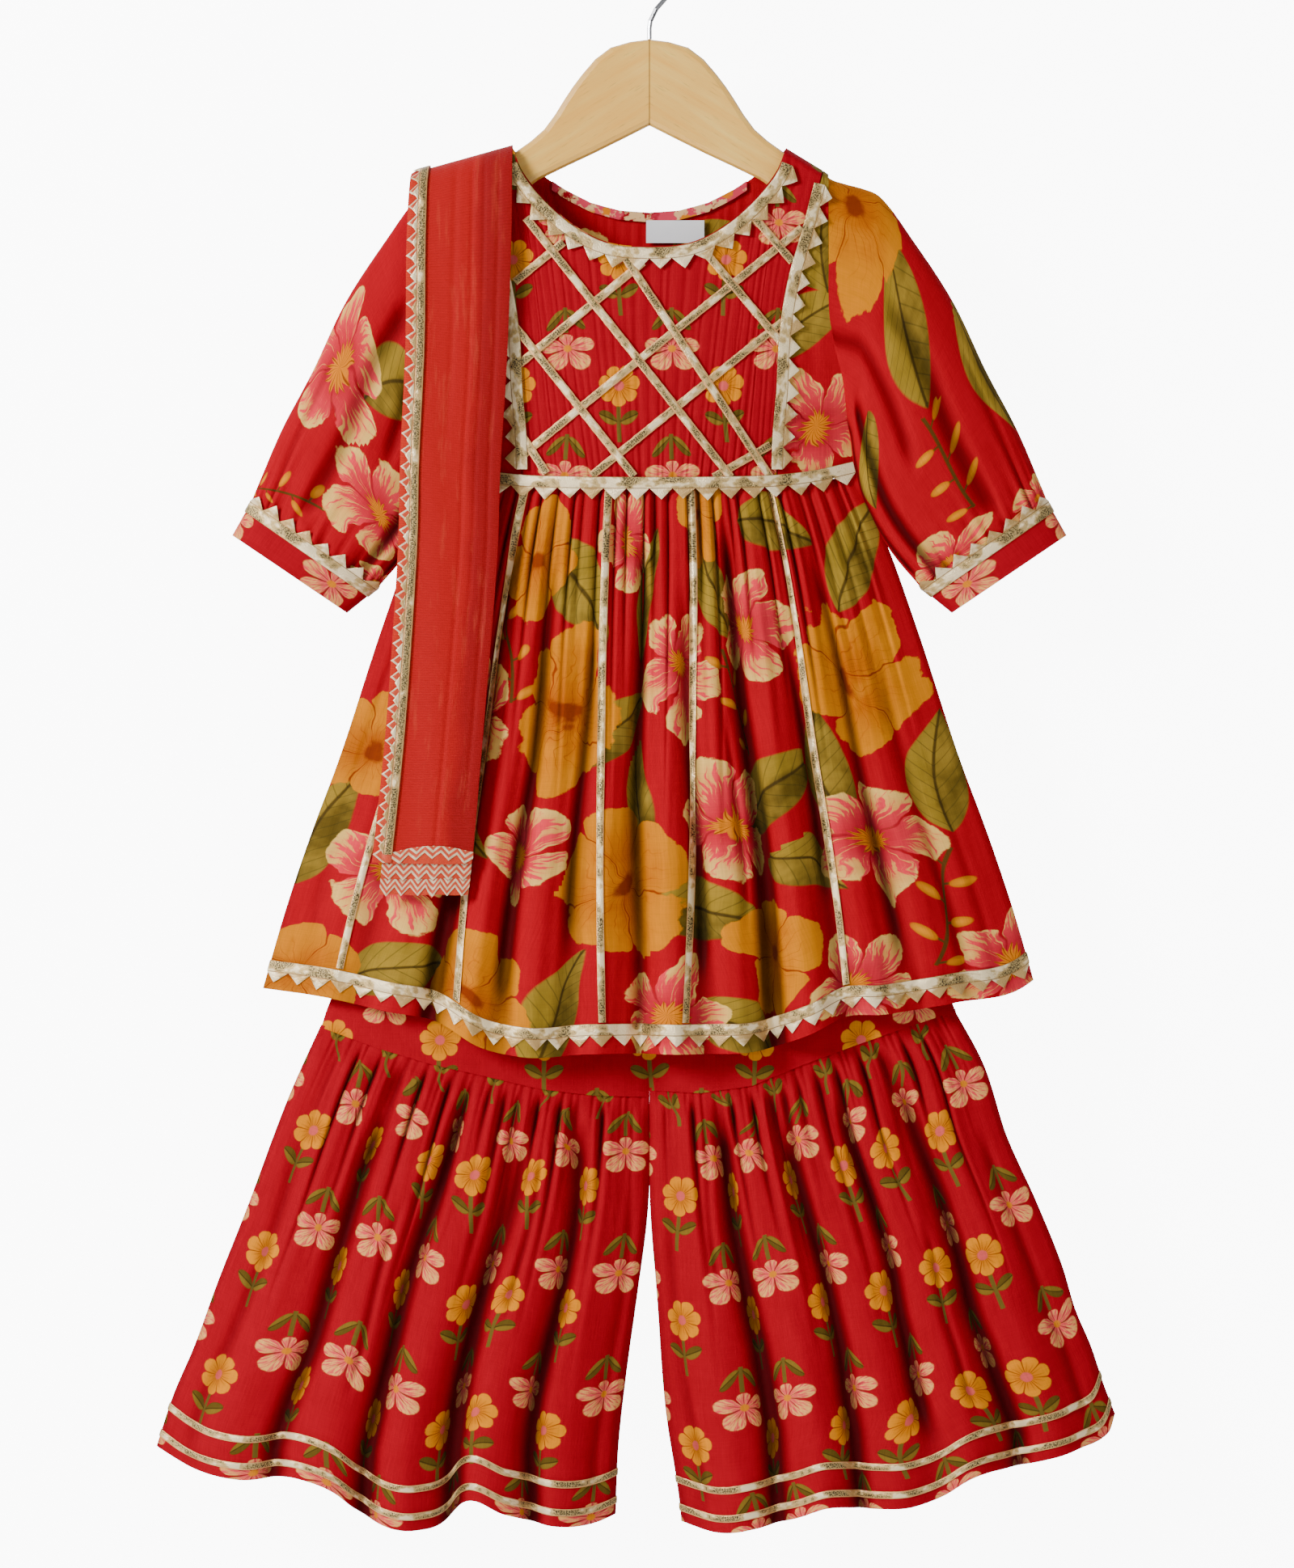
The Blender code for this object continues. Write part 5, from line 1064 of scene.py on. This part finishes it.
def flare(leg_name, face, columns, rows):
    """A flare: its width between the two edge curves, gathers at the knee, broad folds and creases below."""
    leg = LEGS[leg_name]
    sense = -1 if face == "front" else 1
    place = np.linspace(0, 1, columns + 1)
    share = np.linspace(0, 1, rows + 1)[:, None]
    knee_x = mix(leg["knee"]["x"][0], leg["knee"]["x"][-1], place) * MM
    hem_x = mix(leg["hem"]["x"][0], leg["hem"]["x"][-1], place) * MM
    knee = knee_line(leg, knee_x) + 1.5 * MM
    hem = smooth(column(leg["hem"]["x"]), column(leg["hem"]["z"]), hem_x)
    z = mix(knee, hem, share)
    inner = smooth(column(leg["inner"]["z"]), column(leg["inner"]["x"]), z)
    outer = smooth(column(leg["outer"]["z"]), column(leg["outer"]["x"]), z)
    x = mix(inner, outer, place)
    x = x + (1 - share) ** 3 * (mix(0, knee_x[-1], place) - x[:1])
    s = 2 * place - 1
    fold_place = place if face == "front" else 1 - place
    count = place * FLARE_GATHERS[face]
    reach = 0.5 + 0.25 * wobble(2.9 * count, 3)
    fine = KNEE_GATHER * np.clip(1 - share / reach, 0, 1) ** 1.1 * gathering(count, 2 if face == "front" else 5)
    fine = fine + 0.8 * MM * np.clip(1 - share / 0.25, 0, 1) * gathering(count * 2.3, 7)
    broad = ridges(leg["ridges"], fold_place) * np.clip((share - 0.05) / 0.7, 0, 1)
    narrow = creases(leg["creases"], fold_place, share)
    ripple = 0.3 * MM * wobble(40 * place + 2 * share, 1)
    depth = smooth(column(FLARE_DEPTH["z"]), column(FLARE_DEPTH[face]), z) * lens(s) ** 0.8
    depth = depth + (1 - np.abs(s) ** 8) * (fine + broad - narrow + ripple - 2.0 * MM * share)
    under_seam = smooth(column(UPPER_EDGE["z"]), column(UPPER_EDGE[face]), z) * lens(s) - 1.0 * MM
    under_seam = under_seam + 0.7 * MM * gathering(count * 2.3, 7)
    depth = mix(np.maximum(depth, 0), np.maximum(under_seam, 0), hump(share, -1, 0.07, 0.06))
    depth = turned_in(PANEL_EDGE + depth, np.minimum(place, 1 - place))
    points = np.stack([leg["side"] * x, sense * depth, z], axis=-1)
    # Each point's depth in a fold: the print hides there, and the lawn paints shade there
    hollow = np.maximum(hollows(points, 12 * MM, 2.2 * MM), hollows(points, 44 * MM, 6.5 * MM))
    across = leg["side"] * (first_sprig(leg_name) + cloth_across(points, hollow, FLARE_CUT))
    flat = np.stack([across, knee.mean() - share * FLARE_DROP + 0 * place], axis=-1)
    made = surface(f"flare_{face}_{leg_name}_cloth", points, flat, (0, sense, 0),
                   [f"flare_{face}_{leg_name}"], printed({"sprig": sprigs((-460, -1020), (460, -660))}), hollow)
    made[0].data.materials.append(SPRIG_LAWN)
    return made


waistband()
FLARES = {}
for leg_name in LEGS:
    for leg_face, leg_columns, leg_rows in (("front", 260, 110), ("back", 160, 80)):
        upper_leg(leg_name, leg_face)
        FLARES[leg_face, leg_name] = flare(leg_name, leg_face, leg_columns, leg_rows)


# Gota ribbon: trellis, tapes and toothed lace.
# Flat ribbon of metal strip woven on a peach cotton warp. Narrow tape is stitched down along both
# edges; the laces are a wider band with a row of folded points.

TAPE_WIDTH = 5.0 * MM
GOTA_BAND = 7.0 * MM
GOTA_TOOTH = 7.0 * MM
GOTA_PITCH = 13.8 * MM
TAPE_LIFT, CROSS_LIFT, LACE_LIFT = 1.3 * MM, 1.9 * MM, 2.5 * MM
TRELLIS_DOWN = ((60.5, -176, 88, -208), (30, -197, 82, -259), (-18, -201, 74.5, -341), (-76, -181, 50, -341),
                (-84, -246.5, -9.5, -340.5), (-86, -303.5, -63.5, -338.5))
TRELLIS_UP = ((-83, -220.5, -53, -196), (-83.5, -274, -4, -208.5), (-84.5, -332.5, 94, -187), (-35.5, -340, 82, -245),
              (39.5, -341, 74.5, -321))
SKIRT_TAPES = {"1": -0.82, "2": -0.58, "3": -0.19, "4": 0.19, "5": 0.56}
HEM_MARGIN = 4.5 * MM
FLARE_TAPES = {"lower": 9 * MM, "upper": 26.5 * MM}


def gota_ribbon(name, core, edge, bright=0.49):
    """Metal strip on a cotton warp: ribs across it, picks with painted glitter and patches of painted highlight,
    coloured edges.

    The flat place runs along the ribbon and across it from its middle. Core is the half width of the braided
    middle, edge where the band ends: beyond it lie a lace's points, paled and goldened in patches by painted light.
    Bright sets the share of painted highlight: the lower it is, the more of the ribbon gleams.
    """
    made, tree, shader = finish_of(name, 0.28, metallic=0.42)
    flat = add(tree, "UVMap", uv_map="flat")
    along = add(tree, "SeparateXYZ", flat)
    across = add(tree, "SeparateXYZ", flat, output=1)
    # Picks: fine dark and light flecks of painted glitter on the metal, also used as bump
    picks = add(tree, "TexNoise", add(tree, "CombineXYZ", add(tree, "MULTIPLY", along, 1300.0),
                                      add(tree, "MULTIPLY", across, 900.0), 0.0), 1.0, 2.0, 0.6)
    turn_glints = add(tree, "TexNoise", add(tree, "CombineXYZ", add(tree, "MULTIPLY", along, 46.0),
                                       add(tree, "MULTIPLY", across, 70.0), 7.0), 1.0, 3.0, 0.6)
    ribs = add(tree, "SINE", add(tree, "MULTIPLY", across, 2 * math.pi / (0.9 * MM)))
    tone = add(tree, "Mix", add(tree, "MapRange", picks, 0.42, 0.58, 0.0, 1.0), srgb("#35280f"), srgb("#c8aa6c"),
               data_type="RGBA")
    tone = add(tree, "Mix", add(tree, "MapRange", ribs, 0.3, 1.0, 0.0, 0.45), tone, srgb("#2c2410"),
               data_type="RGBA")
    # Painted highlights: patches along the ribbon brighten to champagne and then near white, as reflections of its
    # metal
    for glint_from, share, code in ((bright, 0.75, "#d8b474"), (bright + 0.055, 0.95, "#ffe8b8")):
        highlight_mask = add(tree, "MapRange", turn_glints, glint_from - 0.02, glint_from + 0.02, 0.0, share)
        tone = add(tree, "Mix", highlight_mask, tone, srgb(code), data_type="RGBA")
    away = add(tree, "ABSOLUTE", across)
    border = add(tree, "MapRange", away, core, core + 0.3 * MM, 0.0, 0.8)
    tone = add(tree, "Mix", border, tone, srgb("#e8a868"), data_type="RGBA")
    # Painted light on the points: their facets turn pale or gold in patches by the same noise, as highlight and shade
    points = add(tree, "MapRange", across, edge, edge + 0.3 * MM, 0.0, 0.9)
    point_glints = add(tree, "Mix", add(tree, "MapRange", turn_glints, 0.46, 0.54, 0.0, 1.0), srgb("#c09c60"), srgb("#ffeabc"),
                data_type="RGBA")
    tone = add(tree, "Mix", points, tone, point_glints, data_type="RGBA")
    line = add(tree, "MapRange", add(tree, "ABSOLUTE", add(tree, "SUBTRACT", away, edge)), 0.12 * MM, 0.4 * MM, 0.75, 0.0)
    tone = add(tree, "Mix", line, tone, srgb("#6e5020"), data_type="RGBA")
    tree.links.new(tone, shader.inputs["Base Color"])
    height = add(tree, "ADD", add(tree, "MULTIPLY", picks, 0.8), add(tree, "MULTIPLY", turn_glints, 0.8))
    tree.links.new(add(tree, "Bump", 0.8, 0.0007, None, height), shader.inputs["Normal"])
    return made


TAPE_GOTA = gota_ribbon("gota_tape_ribbon", 1.5 * MM, 9 * MM)
LACE_GOTA = gota_ribbon("gota_lace_ribbon", 3.1 * MM, 3.5 * MM, 0.46)


def ribbon(name, points, along, across, outward, node, finish):
    """A ribbon on a grid of points with its own places along and across it."""
    flat = np.stack(np.broadcast_arrays(along, across), axis=-1)
    made = surface(name, points, flat, outward, [node])
    made[0].data.materials.append(finish)
    return made


def trellis_tape(name, line, lift, node):
    """A straight tape on the yoke, a little domed and waved where it is stitched."""
    start, end = column(line[:2]), column(line[2:])
    length = np.linalg.norm(end - start)
    way = (end - start) / length
    along = np.linspace(0, length, int(length / (1.6 * MM)) + 2)
    across = np.array([-1, -0.6, 0, 0.6, 1])[:, None] * (TAPE_WIDTH / 2 + 0.12 * MM * wobble(along / MM * 0.7, 1))
    middle = start + way * along[:, None]
    x = middle[:, 0] - way[1] * across
    z = middle[:, 1] + way[0] * across
    dome = 0.3 * MM * np.array([0, 0.8, 1, 0.8, 0])[:, None] + 0.15 * MM * wobble(along / MM * 0.5, 4)
    ribbon(name, on_yoke(x, z, "front", lift + dome), along, across, (0, -1, 0), node, TAPE_GOTA)


def lace_form(length, pitch, band, tooth, seed=1, steps=8):
    """Toothed lace as places along and across it, with how far each stands up.

    A band with puckers, then points whose length falls evenly from each tip to the gap, ridged in the middle.
    """
    teeth = max(1, round(length / pitch))
    along = np.linspace(0, length, teeth * steps + 1)
    turn = along / length * teeth
    fold = 1 - 2 * np.abs(turn % 1 - 0.5)
    tip = tooth * (1 + 0.12 * wobble(2.7 * np.floor(turn), seed)) * fold
    rows = [band * f + 0 * along for f in (0, 0.15, 0.5, 0.85, 1)] + [band + tip * f for f in (0.35, 0.7, 1)]
    across = np.stack(rows)
    skew = 0.8 * MM * wobble(3.1 * np.floor(turn), seed + 2) * fold
    lean = np.stack([0 * along] * 5 + [skew * f for f in (0.35, 0.7, 1)])
    pucker = 0.25 * MM * wobble(turn * 5, seed + 3)
    ridge = 0.7 * MM * np.clip(fold - 0.4, 0, 1)
    rise = np.stack([0 * along, 0.35 * MM + pucker, 0.3 * MM + pucker, 0.35 * MM + pucker, 0.1 * MM + 0 * along,
                     0.5 * ridge + 0.2 * MM, ridge + 0.3 * MM, ridge])
    return along + lean, across, rise


def lace_on_yoke(name, x, z, out, node, turn_in=0.0):
    """Lace along a curve on the yoke, its points to the side out."""
    length = np.concatenate([[0], np.cumsum(np.hypot(np.diff(x), np.diff(z)))])
    along, across, rise = lace_form(length[-1], GOTA_PITCH, GOTA_BAND, GOTA_TOOTH, seed=out + len(name))
    across = across - GOTA_BAND / 2
    px, pz = np.interp(along, length, x), np.interp(along, length, z)
    wx, wz = np.interp(along, length, np.gradient(x, length)), np.interp(along, length, np.gradient(z, length))
    size = np.hypot(wx, wz)
    x, z = px - wz / size * out * across, pz + wx / size * out * across
    ribbon(name, on_yoke(x, z, "front", LACE_LIFT + rise - turn_in), along, across, (0, -1, 0), node, LACE_GOTA)


for number, line in enumerate(TRELLIS_UP):
    trellis_tape(f"trellis_up_{number + 1}_ribbon", line, TAPE_LIFT, f"tape_trellis_up_{number + 1}")
for number, line in enumerate(TRELLIS_DOWN):
    trellis_tape(f"trellis_down_{number + 1}_ribbon", line, CROSS_LIFT, f"tape_trellis_down_{number + 1}")

neck_x, neck_z = neckline(NECK_FRONT, 240, 84.5 * MM)
neck_way = np.stack([np.gradient(neck_x), np.gradient(neck_z)])
neck_way /= np.linalg.norm(neck_way, axis=0)
neck_drop = GOTA_BAND / 2 + 0.8 * MM
kept = neck_z < -146 * MM
lace_on_yoke("gota_neck_ribbon", (neck_x + neck_way[1] * neck_drop)[kept], (neck_z - neck_way[0] * neck_drop)[kept], -1,
             "gota_neck")
princess_drop = np.linspace(-160, -336, 90) * MM
for side_name, side in (("left", -1), ("right", 1)):
    lace_on_yoke(f"gota_yoke_{side_name}_ribbon", side * princess_x(princess_drop), princess_drop, side,
                 f"gota_yoke_{side_name}")
waist_x = np.linspace(-126.5, 126.5, 120) * MM
lace_on_yoke("gota_waist_ribbon", waist_x, waist_z(waist_x) + GOTA_BAND / 2, -1, "gota_waist")


def hem_lace(name, panel, node, teeth):
    """Lace just above a skirt hem, following its folds."""
    _, points, _ = panel
    rows, columns = points.shape[0] - 1, points.shape[1] - 1
    drop = np.linalg.norm(np.diff(points, axis=0), axis=2).sum(axis=0)
    hem = points[-1]
    length = np.concatenate([[0], np.cumsum(np.linalg.norm(np.diff(hem, axis=0), axis=1))])
    along, across, rise = lace_form(length[-1], length[-1] / teeth, GOTA_BAND, GOTA_TOOTH, seed=3, steps=10)
    at = np.interp(along, length, np.arange(columns + 1))
    height = HEM_MARGIN + GOTA_TOOTH + GOTA_BAND - across
    row = rows * (1 - height / np.interp(at, np.arange(columns + 1), drop))
    sense = np.sign(points[..., 1].mean())
    ribbon(name, part_way(panel, row, at, 0.7 * MM + rise), along, across - GOTA_BAND / 2, (0, sense, 0), node, LACE_GOTA)


def skirt_tape(name, place, node):
    """A tape from the waist to the hem lace along one line of the gathered cloth."""
    _, points, _ = SKIRT_FRONT
    rows, columns = points.shape[0] - 1, points.shape[1] - 1
    middle = (place + 1) / 2 * columns
    near = int(middle)
    drop = np.linalg.norm(np.diff(points[:, near], axis=0), axis=1).sum()
    down = np.linspace(0.4, rows * (1 - (HEM_MARGIN + GOTA_TOOTH + GOTA_BAND + 1 * MM) / drop), 170)
    width = np.interp(down, np.arange(rows + 1), np.abs(points[:, near + 4, 0] - points[:, near - 4, 0])) / 8
    across = np.array([-1, -0.5, 0, 0.5, 1])[:, None] * 2.1 * MM
    at = middle + across / width
    lift = 0.9 * MM + 0.3 * MM * np.array([0, 0.8, 1, 0.8, 0])[:, None] + 0 * down
    ribbon(name, part_way(SKIRT_FRONT, down[None, :], at, lift), down / rows * drop, across, (0, -1, 0), node, TAPE_GOTA)


def flare_tape(name, panel, height, node):
    """A tape round a flare at one height over its hem."""
    _, points, _ = panel
    rows, columns = points.shape[0] - 1, points.shape[1] - 1
    drop = np.linalg.norm(np.diff(points, axis=0), axis=2).sum(axis=0)
    hem = points[-1]
    length = np.concatenate([[0], np.cumsum(np.linalg.norm(np.diff(hem, axis=0), axis=1))])
    across = np.array([-1, -0.5, 0, 0.5, 1])[:, None] * 2.25 * MM
    row = rows * (1 - (height + across) / drop)
    lift = 0.7 * MM + 0.25 * MM * np.array([0, 0.8, 1, 0.8, 0])[:, None] + 0 * length
    sense = np.sign(points[..., 1].mean())
    ribbon(name, part_way(panel, row, np.arange(columns + 1)[None, :], lift), length, across, (0, sense, 0), node,
           TAPE_GOTA)


def cuff_lace(side_name):
    """Lace along the cuff's head: the band lies on the cuff and the points stand up on the sleeve."""
    _, points, normals = CUFFS[side_name]
    ring = np.concatenate([points[0], points[0, :1]])
    foot = np.concatenate([points[-1], points[-1, :1]])
    out = np.concatenate([normals[1], normals[1, :1]])
    length = np.concatenate([[0], np.cumsum(np.linalg.norm(np.diff(ring, axis=0), axis=1))])
    along, across, rise = lace_form(length[-1], 12.5 * MM, 7.0 * MM, 6.5 * MM, seed=5)
    above = across - 7.0 * MM

    def carried(values):
        return np.stack([np.interp(along, length, values[:, i]) for i in range(3)], axis=-1)

    base, way, normal = carried(ring), carried(ring - foot), carried(out)
    way /= np.linalg.norm(way, axis=-1, keepdims=True)
    tilt = np.where(above > 0, 0.32 * above, 0) + 0.6 * MM + rise
    grid = base + way * above[..., None] + normal * tilt[..., None]
    look_out = grid - grid.mean(axis=1, keepdims=True)
    ribbon(f"gota_cuff_{side_name}_ribbon", grid, along, across - 3.5 * MM, look_out, f"gota_cuff_{side_name}", LACE_GOTA)


hem_lace("gota_hem_front_ribbon", SKIRT_FRONT, "gota_hem_front", 38)
hem_lace("gota_hem_back_ribbon", SKIRT_BACK, "gota_hem_back", 38)
for tape_name, tape_place in SKIRT_TAPES.items():
    skirt_tape(f"skirt_tape_{tape_name}_ribbon", tape_place, f"tape_skirt_{tape_name}")
for (leg_face, leg_name), panel in FLARES.items():
    for level, height in FLARE_TAPES.items():
        flare_tape(f"flare_tape_{leg_face}_{leg_name}_{level}_ribbon", panel, height, f"tape_{leg_face}_{leg_name}_{level}")
for side_name in CUFFS:
    cuff_lace(side_name)


# Dupatta.
# A long veil of fine red net folded lengthwise to a strip and laid over the shoulder; its folded
# layers show as deeper red. Toothed gota edges its long side and the hems at its foot.

DUPATTA_SECTION = {"left_x": (-170, -161.5, -154.5, -153, -150, -149.5, -148.5, -147.5, -146.5, -147, -148, -149, -150, -152),
                   "left_z": (-578, -495, -390, -330, -262, -205, -172, -156.5, -152, -156.5, -175, -225, -300, -370),
                   "right_x": (-108.5, -101.5, -93.5, -91.5, -87.5, -85, -84.5, -84.5, -84.5, -84.5, -84.5, -85, -88, -92),
                   "right_z": (-578, -495, -395, -338, -270, -200, -157, -139.5, -134.6, -139.5, -160, -225, -300, -370),
                   "y": (-37.5, -37, -34.5, -31, -27.5, -25, -20.5, -12.5, 0, 12.5, 19.5, 23, 26, 29)}
DUPATTA_TOOTH = 6.5 * MM
DUPATTA_BAND = 5.5 * MM
DUPATTA_PITCH = 10 * MM
# Hems of the layers at the foot: heights of the lace's top, gap and tip over the foot and how far it stands out, in mm
DUPATTA_FOOT = ((6.5, 2.5, -2, 0.5), (3, -6, -11, -2.2), (1.5, -15, -21, -3.4))
# Old press folds in the net: share across, width, depth in mm, start and end along it
NET_CREASES = {"at": (0.62, 0.74, 0.45, 0.88), "width": (0.02, 0.015, 0.03, 0.02), "depth": (0.5, 0.4, 0.4, 0.5),
               "start": (-0.1, 0.1, 0.3, 0.0), "end": (1.1, 0.9, 1.1, 1.1)}


def red_net():
    """Fine net in folded layers: close rows of mesh, deeper where layers lie double, painted highlights along press
    folds.
    """
    made, tree, shader = finish_of("red_net", 0.62, sheen=0.05, gloss=0.15)
    flat = add(tree, "UVMap", uv_map="flat")
    across = add(tree, "SeparateXYZ", flat)
    along = add(tree, "SeparateXYZ", flat, output=1)
    rows = add(tree, "SINE", add(tree, "MULTIPLY", along, 2 * math.pi / (1.5 * MM)))
    cells = add(tree, "SINE", add(tree, "MULTIPLY", across, 2 * math.pi / (1.1 * MM)))
    mesh = add(tree, "MULTIPLY_ADD", cells, 0.35, rows)
    drift = add(tree, "TexNoise", flat, 22.0, 3.0, 0.6)
    # Painted highlights: pale streaks stretched along the net, where press folds catch the light
    crease_glints = add(tree, "TexNoise", add(tree, "CombineXYZ", add(tree, "MULTIPLY", across, 130.0),
                                      add(tree, "MULTIPLY", along, 16.0), 0.0), 1.0, 4.0, 0.7)
    double = add(tree, "MapRange", add(tree, "MULTIPLY_ADD", drift, 0.012, across), 0.046, 0.054, 0.0, 1.0)
    single = add(tree, "MapRange", across, 0.014, 0.010, 0.0, 1.0)
    tone = add(tree, "Mix", double, srgb("#b00a0c"), srgb("#94040c"), data_type="RGBA")
    tone = add(tree, "Mix", single, tone, srgb("#c62a14"), data_type="RGBA")
    tone = add(tree, "Mix", add(tree, "MapRange", crease_glints, 0.55, 0.72, 0.0, 0.26), tone, srgb("#da5438"),
               data_type="RGBA")
    tone = add(tree, "Mix", add(tree, "MapRange", mesh, 0.2, 1.2, 0.0, 0.16), tone, srgb("#5c0008"),
               data_type="RGBA")
    tree.links.new(tone, shader.inputs["Base Color"])
    tree.links.new(add(tree, "Bump", 0.3, 0.0003, None, mesh), shader.inputs["Normal"])
    return made


def hem_net():
    """A single layer of the net behind the lace, orange red where light comes through its mesh."""
    made, tree, shader = finish_of("single_red_net", 0.6, sheen=0.05, gloss=0.15)
    flat = add(tree, "UVMap", uv_map="flat")
    mesh = add(tree, "TexNoise", flat, 1300.0, 1.0)
    tone = add(tree, "Mix", mesh, srgb("#a81c0c"), srgb("#dc5030"), data_type="RGBA")
    tree.links.new(tone, shader.inputs["Base Color"])
    tree.links.new(add(tree, "Bump", 0.4, 0.0003, None, mesh), shader.inputs["Normal"])
    return made


def zigzag_net(name, pitch, tooth, spacing):
    """Gold zigzag lines on the single net: one along the points' outline and the next ones spacing above it.

    The flat place runs along the lace and across it from the gaps between its points.
    """
    made, tree, shader = finish_of(name, 0.4, metallic=0.2)
    flat = add(tree, "UVMap", uv_map="flat")
    along = add(tree, "SeparateXYZ", flat)
    across = add(tree, "SeparateXYZ", flat, output=1)
    # Painted light: the net is orange red where light comes through its mesh
    mesh = add(tree, "TexNoise", flat, 1300.0, 1.0)
    net = add(tree, "Mix", mesh, srgb("#b02410"), srgb("#e45c34"), data_type="RGBA")
    turn = add(tree, "FRACT", add(tree, "DIVIDE", along, pitch))
    fold = add(tree, "SUBTRACT", 1.0, add(tree, "MULTIPLY", add(tree, "ABSOLUTE", add(tree, "SUBTRACT", turn, 0.5)), 2.0))
    inside = add(tree, "SUBTRACT", add(tree, "MULTIPLY", fold, tooth), across)
    inside = add(tree, "MULTIPLY", add(tree, "FRACT", add(tree, "DIVIDE", inside, spacing)), spacing)
    gold = add(tree, "MapRange", inside, 1.5 * MM, 1.9 * MM, 1.0, 0.0)
    glint = add(tree, "Mix", add(tree, "TexNoise", flat, 260.0, 2.0), srgb("#b08a4c"), srgb("#fff2d0"), data_type="RGBA")
    tone = add(tree, "Mix", gold, net, glint, data_type="RGBA")
    tree.links.new(tone, shader.inputs["Base Color"])
    tree.links.new(add(tree, "Bump", 0.5, 0.0004, None, mesh), shader.inputs["Normal"])
    return made


def dupatta_cloth():
    """The folded strip: left and right edges and depth at each station, with press folds across it."""
    steps = np.arange(len(DUPATTA_SECTION["y"]))
    at = np.concatenate([np.linspace(0, 5, 150)[:-1], np.linspace(5, 11, 90)[:-1], np.linspace(11, steps[-1], 40)])
    held = {key: smooth(steps, column(values), at)[:, None] for key, values in DUPATTA_SECTION.items()}
    across = np.linspace(0, 1, 61)
    share = np.linspace(0, 1, len(at))[:, None]
    x = mix(held["left_x"], held["right_x"], across)
    z = mix(held["left_z"], held["right_z"], across)
    face = np.clip(np.abs(held["y"]) / (20 * MM), 0, 1)
    swell = 0.9 * MM * np.sin(math.pi * across) ** 0.5 + 0.5 * MM * wobble(7 * across + 9 * share, 3) * np.sin(math.pi * across)
    y = held["y"] + np.sign(held["y"]) * face * (swell - creases(NET_CREASES, across, share))
    points = np.stack([x, y, z], axis=-1)
    length = np.concatenate([[0], np.cumsum(np.linalg.norm(np.diff(points[:, 0], axis=0), axis=1))])
    width = np.linalg.norm(points[:, -1] - points[:, 0], axis=1)[:, None]
    flat = np.stack([across * width, length[:, None] + 0 * across], axis=-1)
    made = surface("dupatta_net", points, flat, points * (0, 1, 0), ["dupatta"])
    made[0].data.materials.append(red_net())
    return made, length, width


DUPATTA, dupatta_length, dupatta_width = dupatta_cloth()


def edge_lace(name, tooth, band, shift, lift, nodes, pitch, finish):
    """Lace down the dupatta's long edge, points outwards, on the front, over the shoulder and down the back."""
    along, across, rise = lace_form(dupatta_length[-1] - abs(shift), pitch, band, tooth, seed=shift * 1000 + 2, steps=8)
    along = along + shift
    row = np.interp(along, dupatta_length, np.arange(len(dupatta_length)))
    width = np.interp(row, np.arange(len(dupatta_length)), dupatta_width[:, 0])
    inward = (DUPATTA_TOOTH + DUPATTA_BAND) - across
    grid = part_way(DUPATTA, row, inward / width * 60, lift + rise)
    flat = np.stack(np.broadcast_arrays(along, across - (band if nodes else band / 2)), axis=-1)
    made = surface(name, grid, flat, grid * (0, 1, 0), nodes)
    made[0].data.materials.append(finish)


EDGE_PITCH = dupatta_length[-1] / round(dupatta_length[-1] / DUPATTA_PITCH)
SINGLE_NET = hem_net()
edge_lace("gota_dupatta_edge_ribbon", DUPATTA_TOOTH - 0.3 * MM, DUPATTA_BAND, 0.0, 0.9 * MM, ["gota_dupatta_edge"],
          EDGE_PITCH, zigzag_net("gota_zigzag_on_net", EDGE_PITCH, DUPATTA_TOOTH, 20 * MM))
edge_lace("gota_dupatta_inner_points", 3.4 * MM, 5.3 * MM, EDGE_PITCH / 2, 1.5 * MM, [], EDGE_PITCH,
          gota_ribbon("gota_braid_and_points", 1.7 * MM, 2.65 * MM, 0.56))
for number, (top, gap, tip, lift) in enumerate(DUPATTA_FOOT):
    first = DUPATTA_TOOTH + DUPATTA_BAND if number == 0 else 6 * MM
    along, across, rise = lace_form(61.5 * MM - first, DUPATTA_PITCH, (top - gap) * MM, (gap - tip) * MM, seed=number + 4)
    height = top * MM - across
    row = height / (dupatta_length[1] - dupatta_length[0])
    arch = 4.0 * MM * np.sin(math.pi * np.clip(along / (61.5 * MM - first), 0, 1)) if number == 0 else 0
    grid = part_way(DUPATTA, row + arch / dupatta_length[1], (first + along) / dupatta_width[0, 0] * 60, lift * MM + rise)
    flat = np.stack(np.broadcast_arrays(along, across - (top - gap) * MM), axis=-1)
    made = surface(f"gota_dupatta_foot_{number + 1}_ribbon", grid, flat, (0, -1, 0),
                   [f"gota_dupatta_foot_{number + 1}"])
    pitch = along[0, -1] / round(along[0, -1] / DUPATTA_PITCH)
    made[0].data.materials.append(zigzag_net(f"gota_foot_rows_{number + 1}", pitch, (gap - tip) * MM, 3.9 * MM))
    behind = np.linspace(0, 1, 6)[:, None]
    side_way = np.linspace(0, 1, 40)
    fall = mix(top * MM, (tip + 1.2) * MM, behind) + 0.4 * MM * wobble(9 * side_way, number)
    net_points = part_way(DUPATTA, fall / dupatta_length[1], (first + side_way * (61.0 * MM - first)) / dupatta_width[0, 0] * 60,
                          (lift - 0.35) * MM + 0 * fall)
    net_flat = np.stack(np.broadcast_arrays(side_way * 0.06, fall), axis=-1)
    made = surface(f"dupatta_hem_net_{number + 1}", net_points, net_flat, (0, -1, 0))
    made[0].data.materials.append(SINGLE_NET)
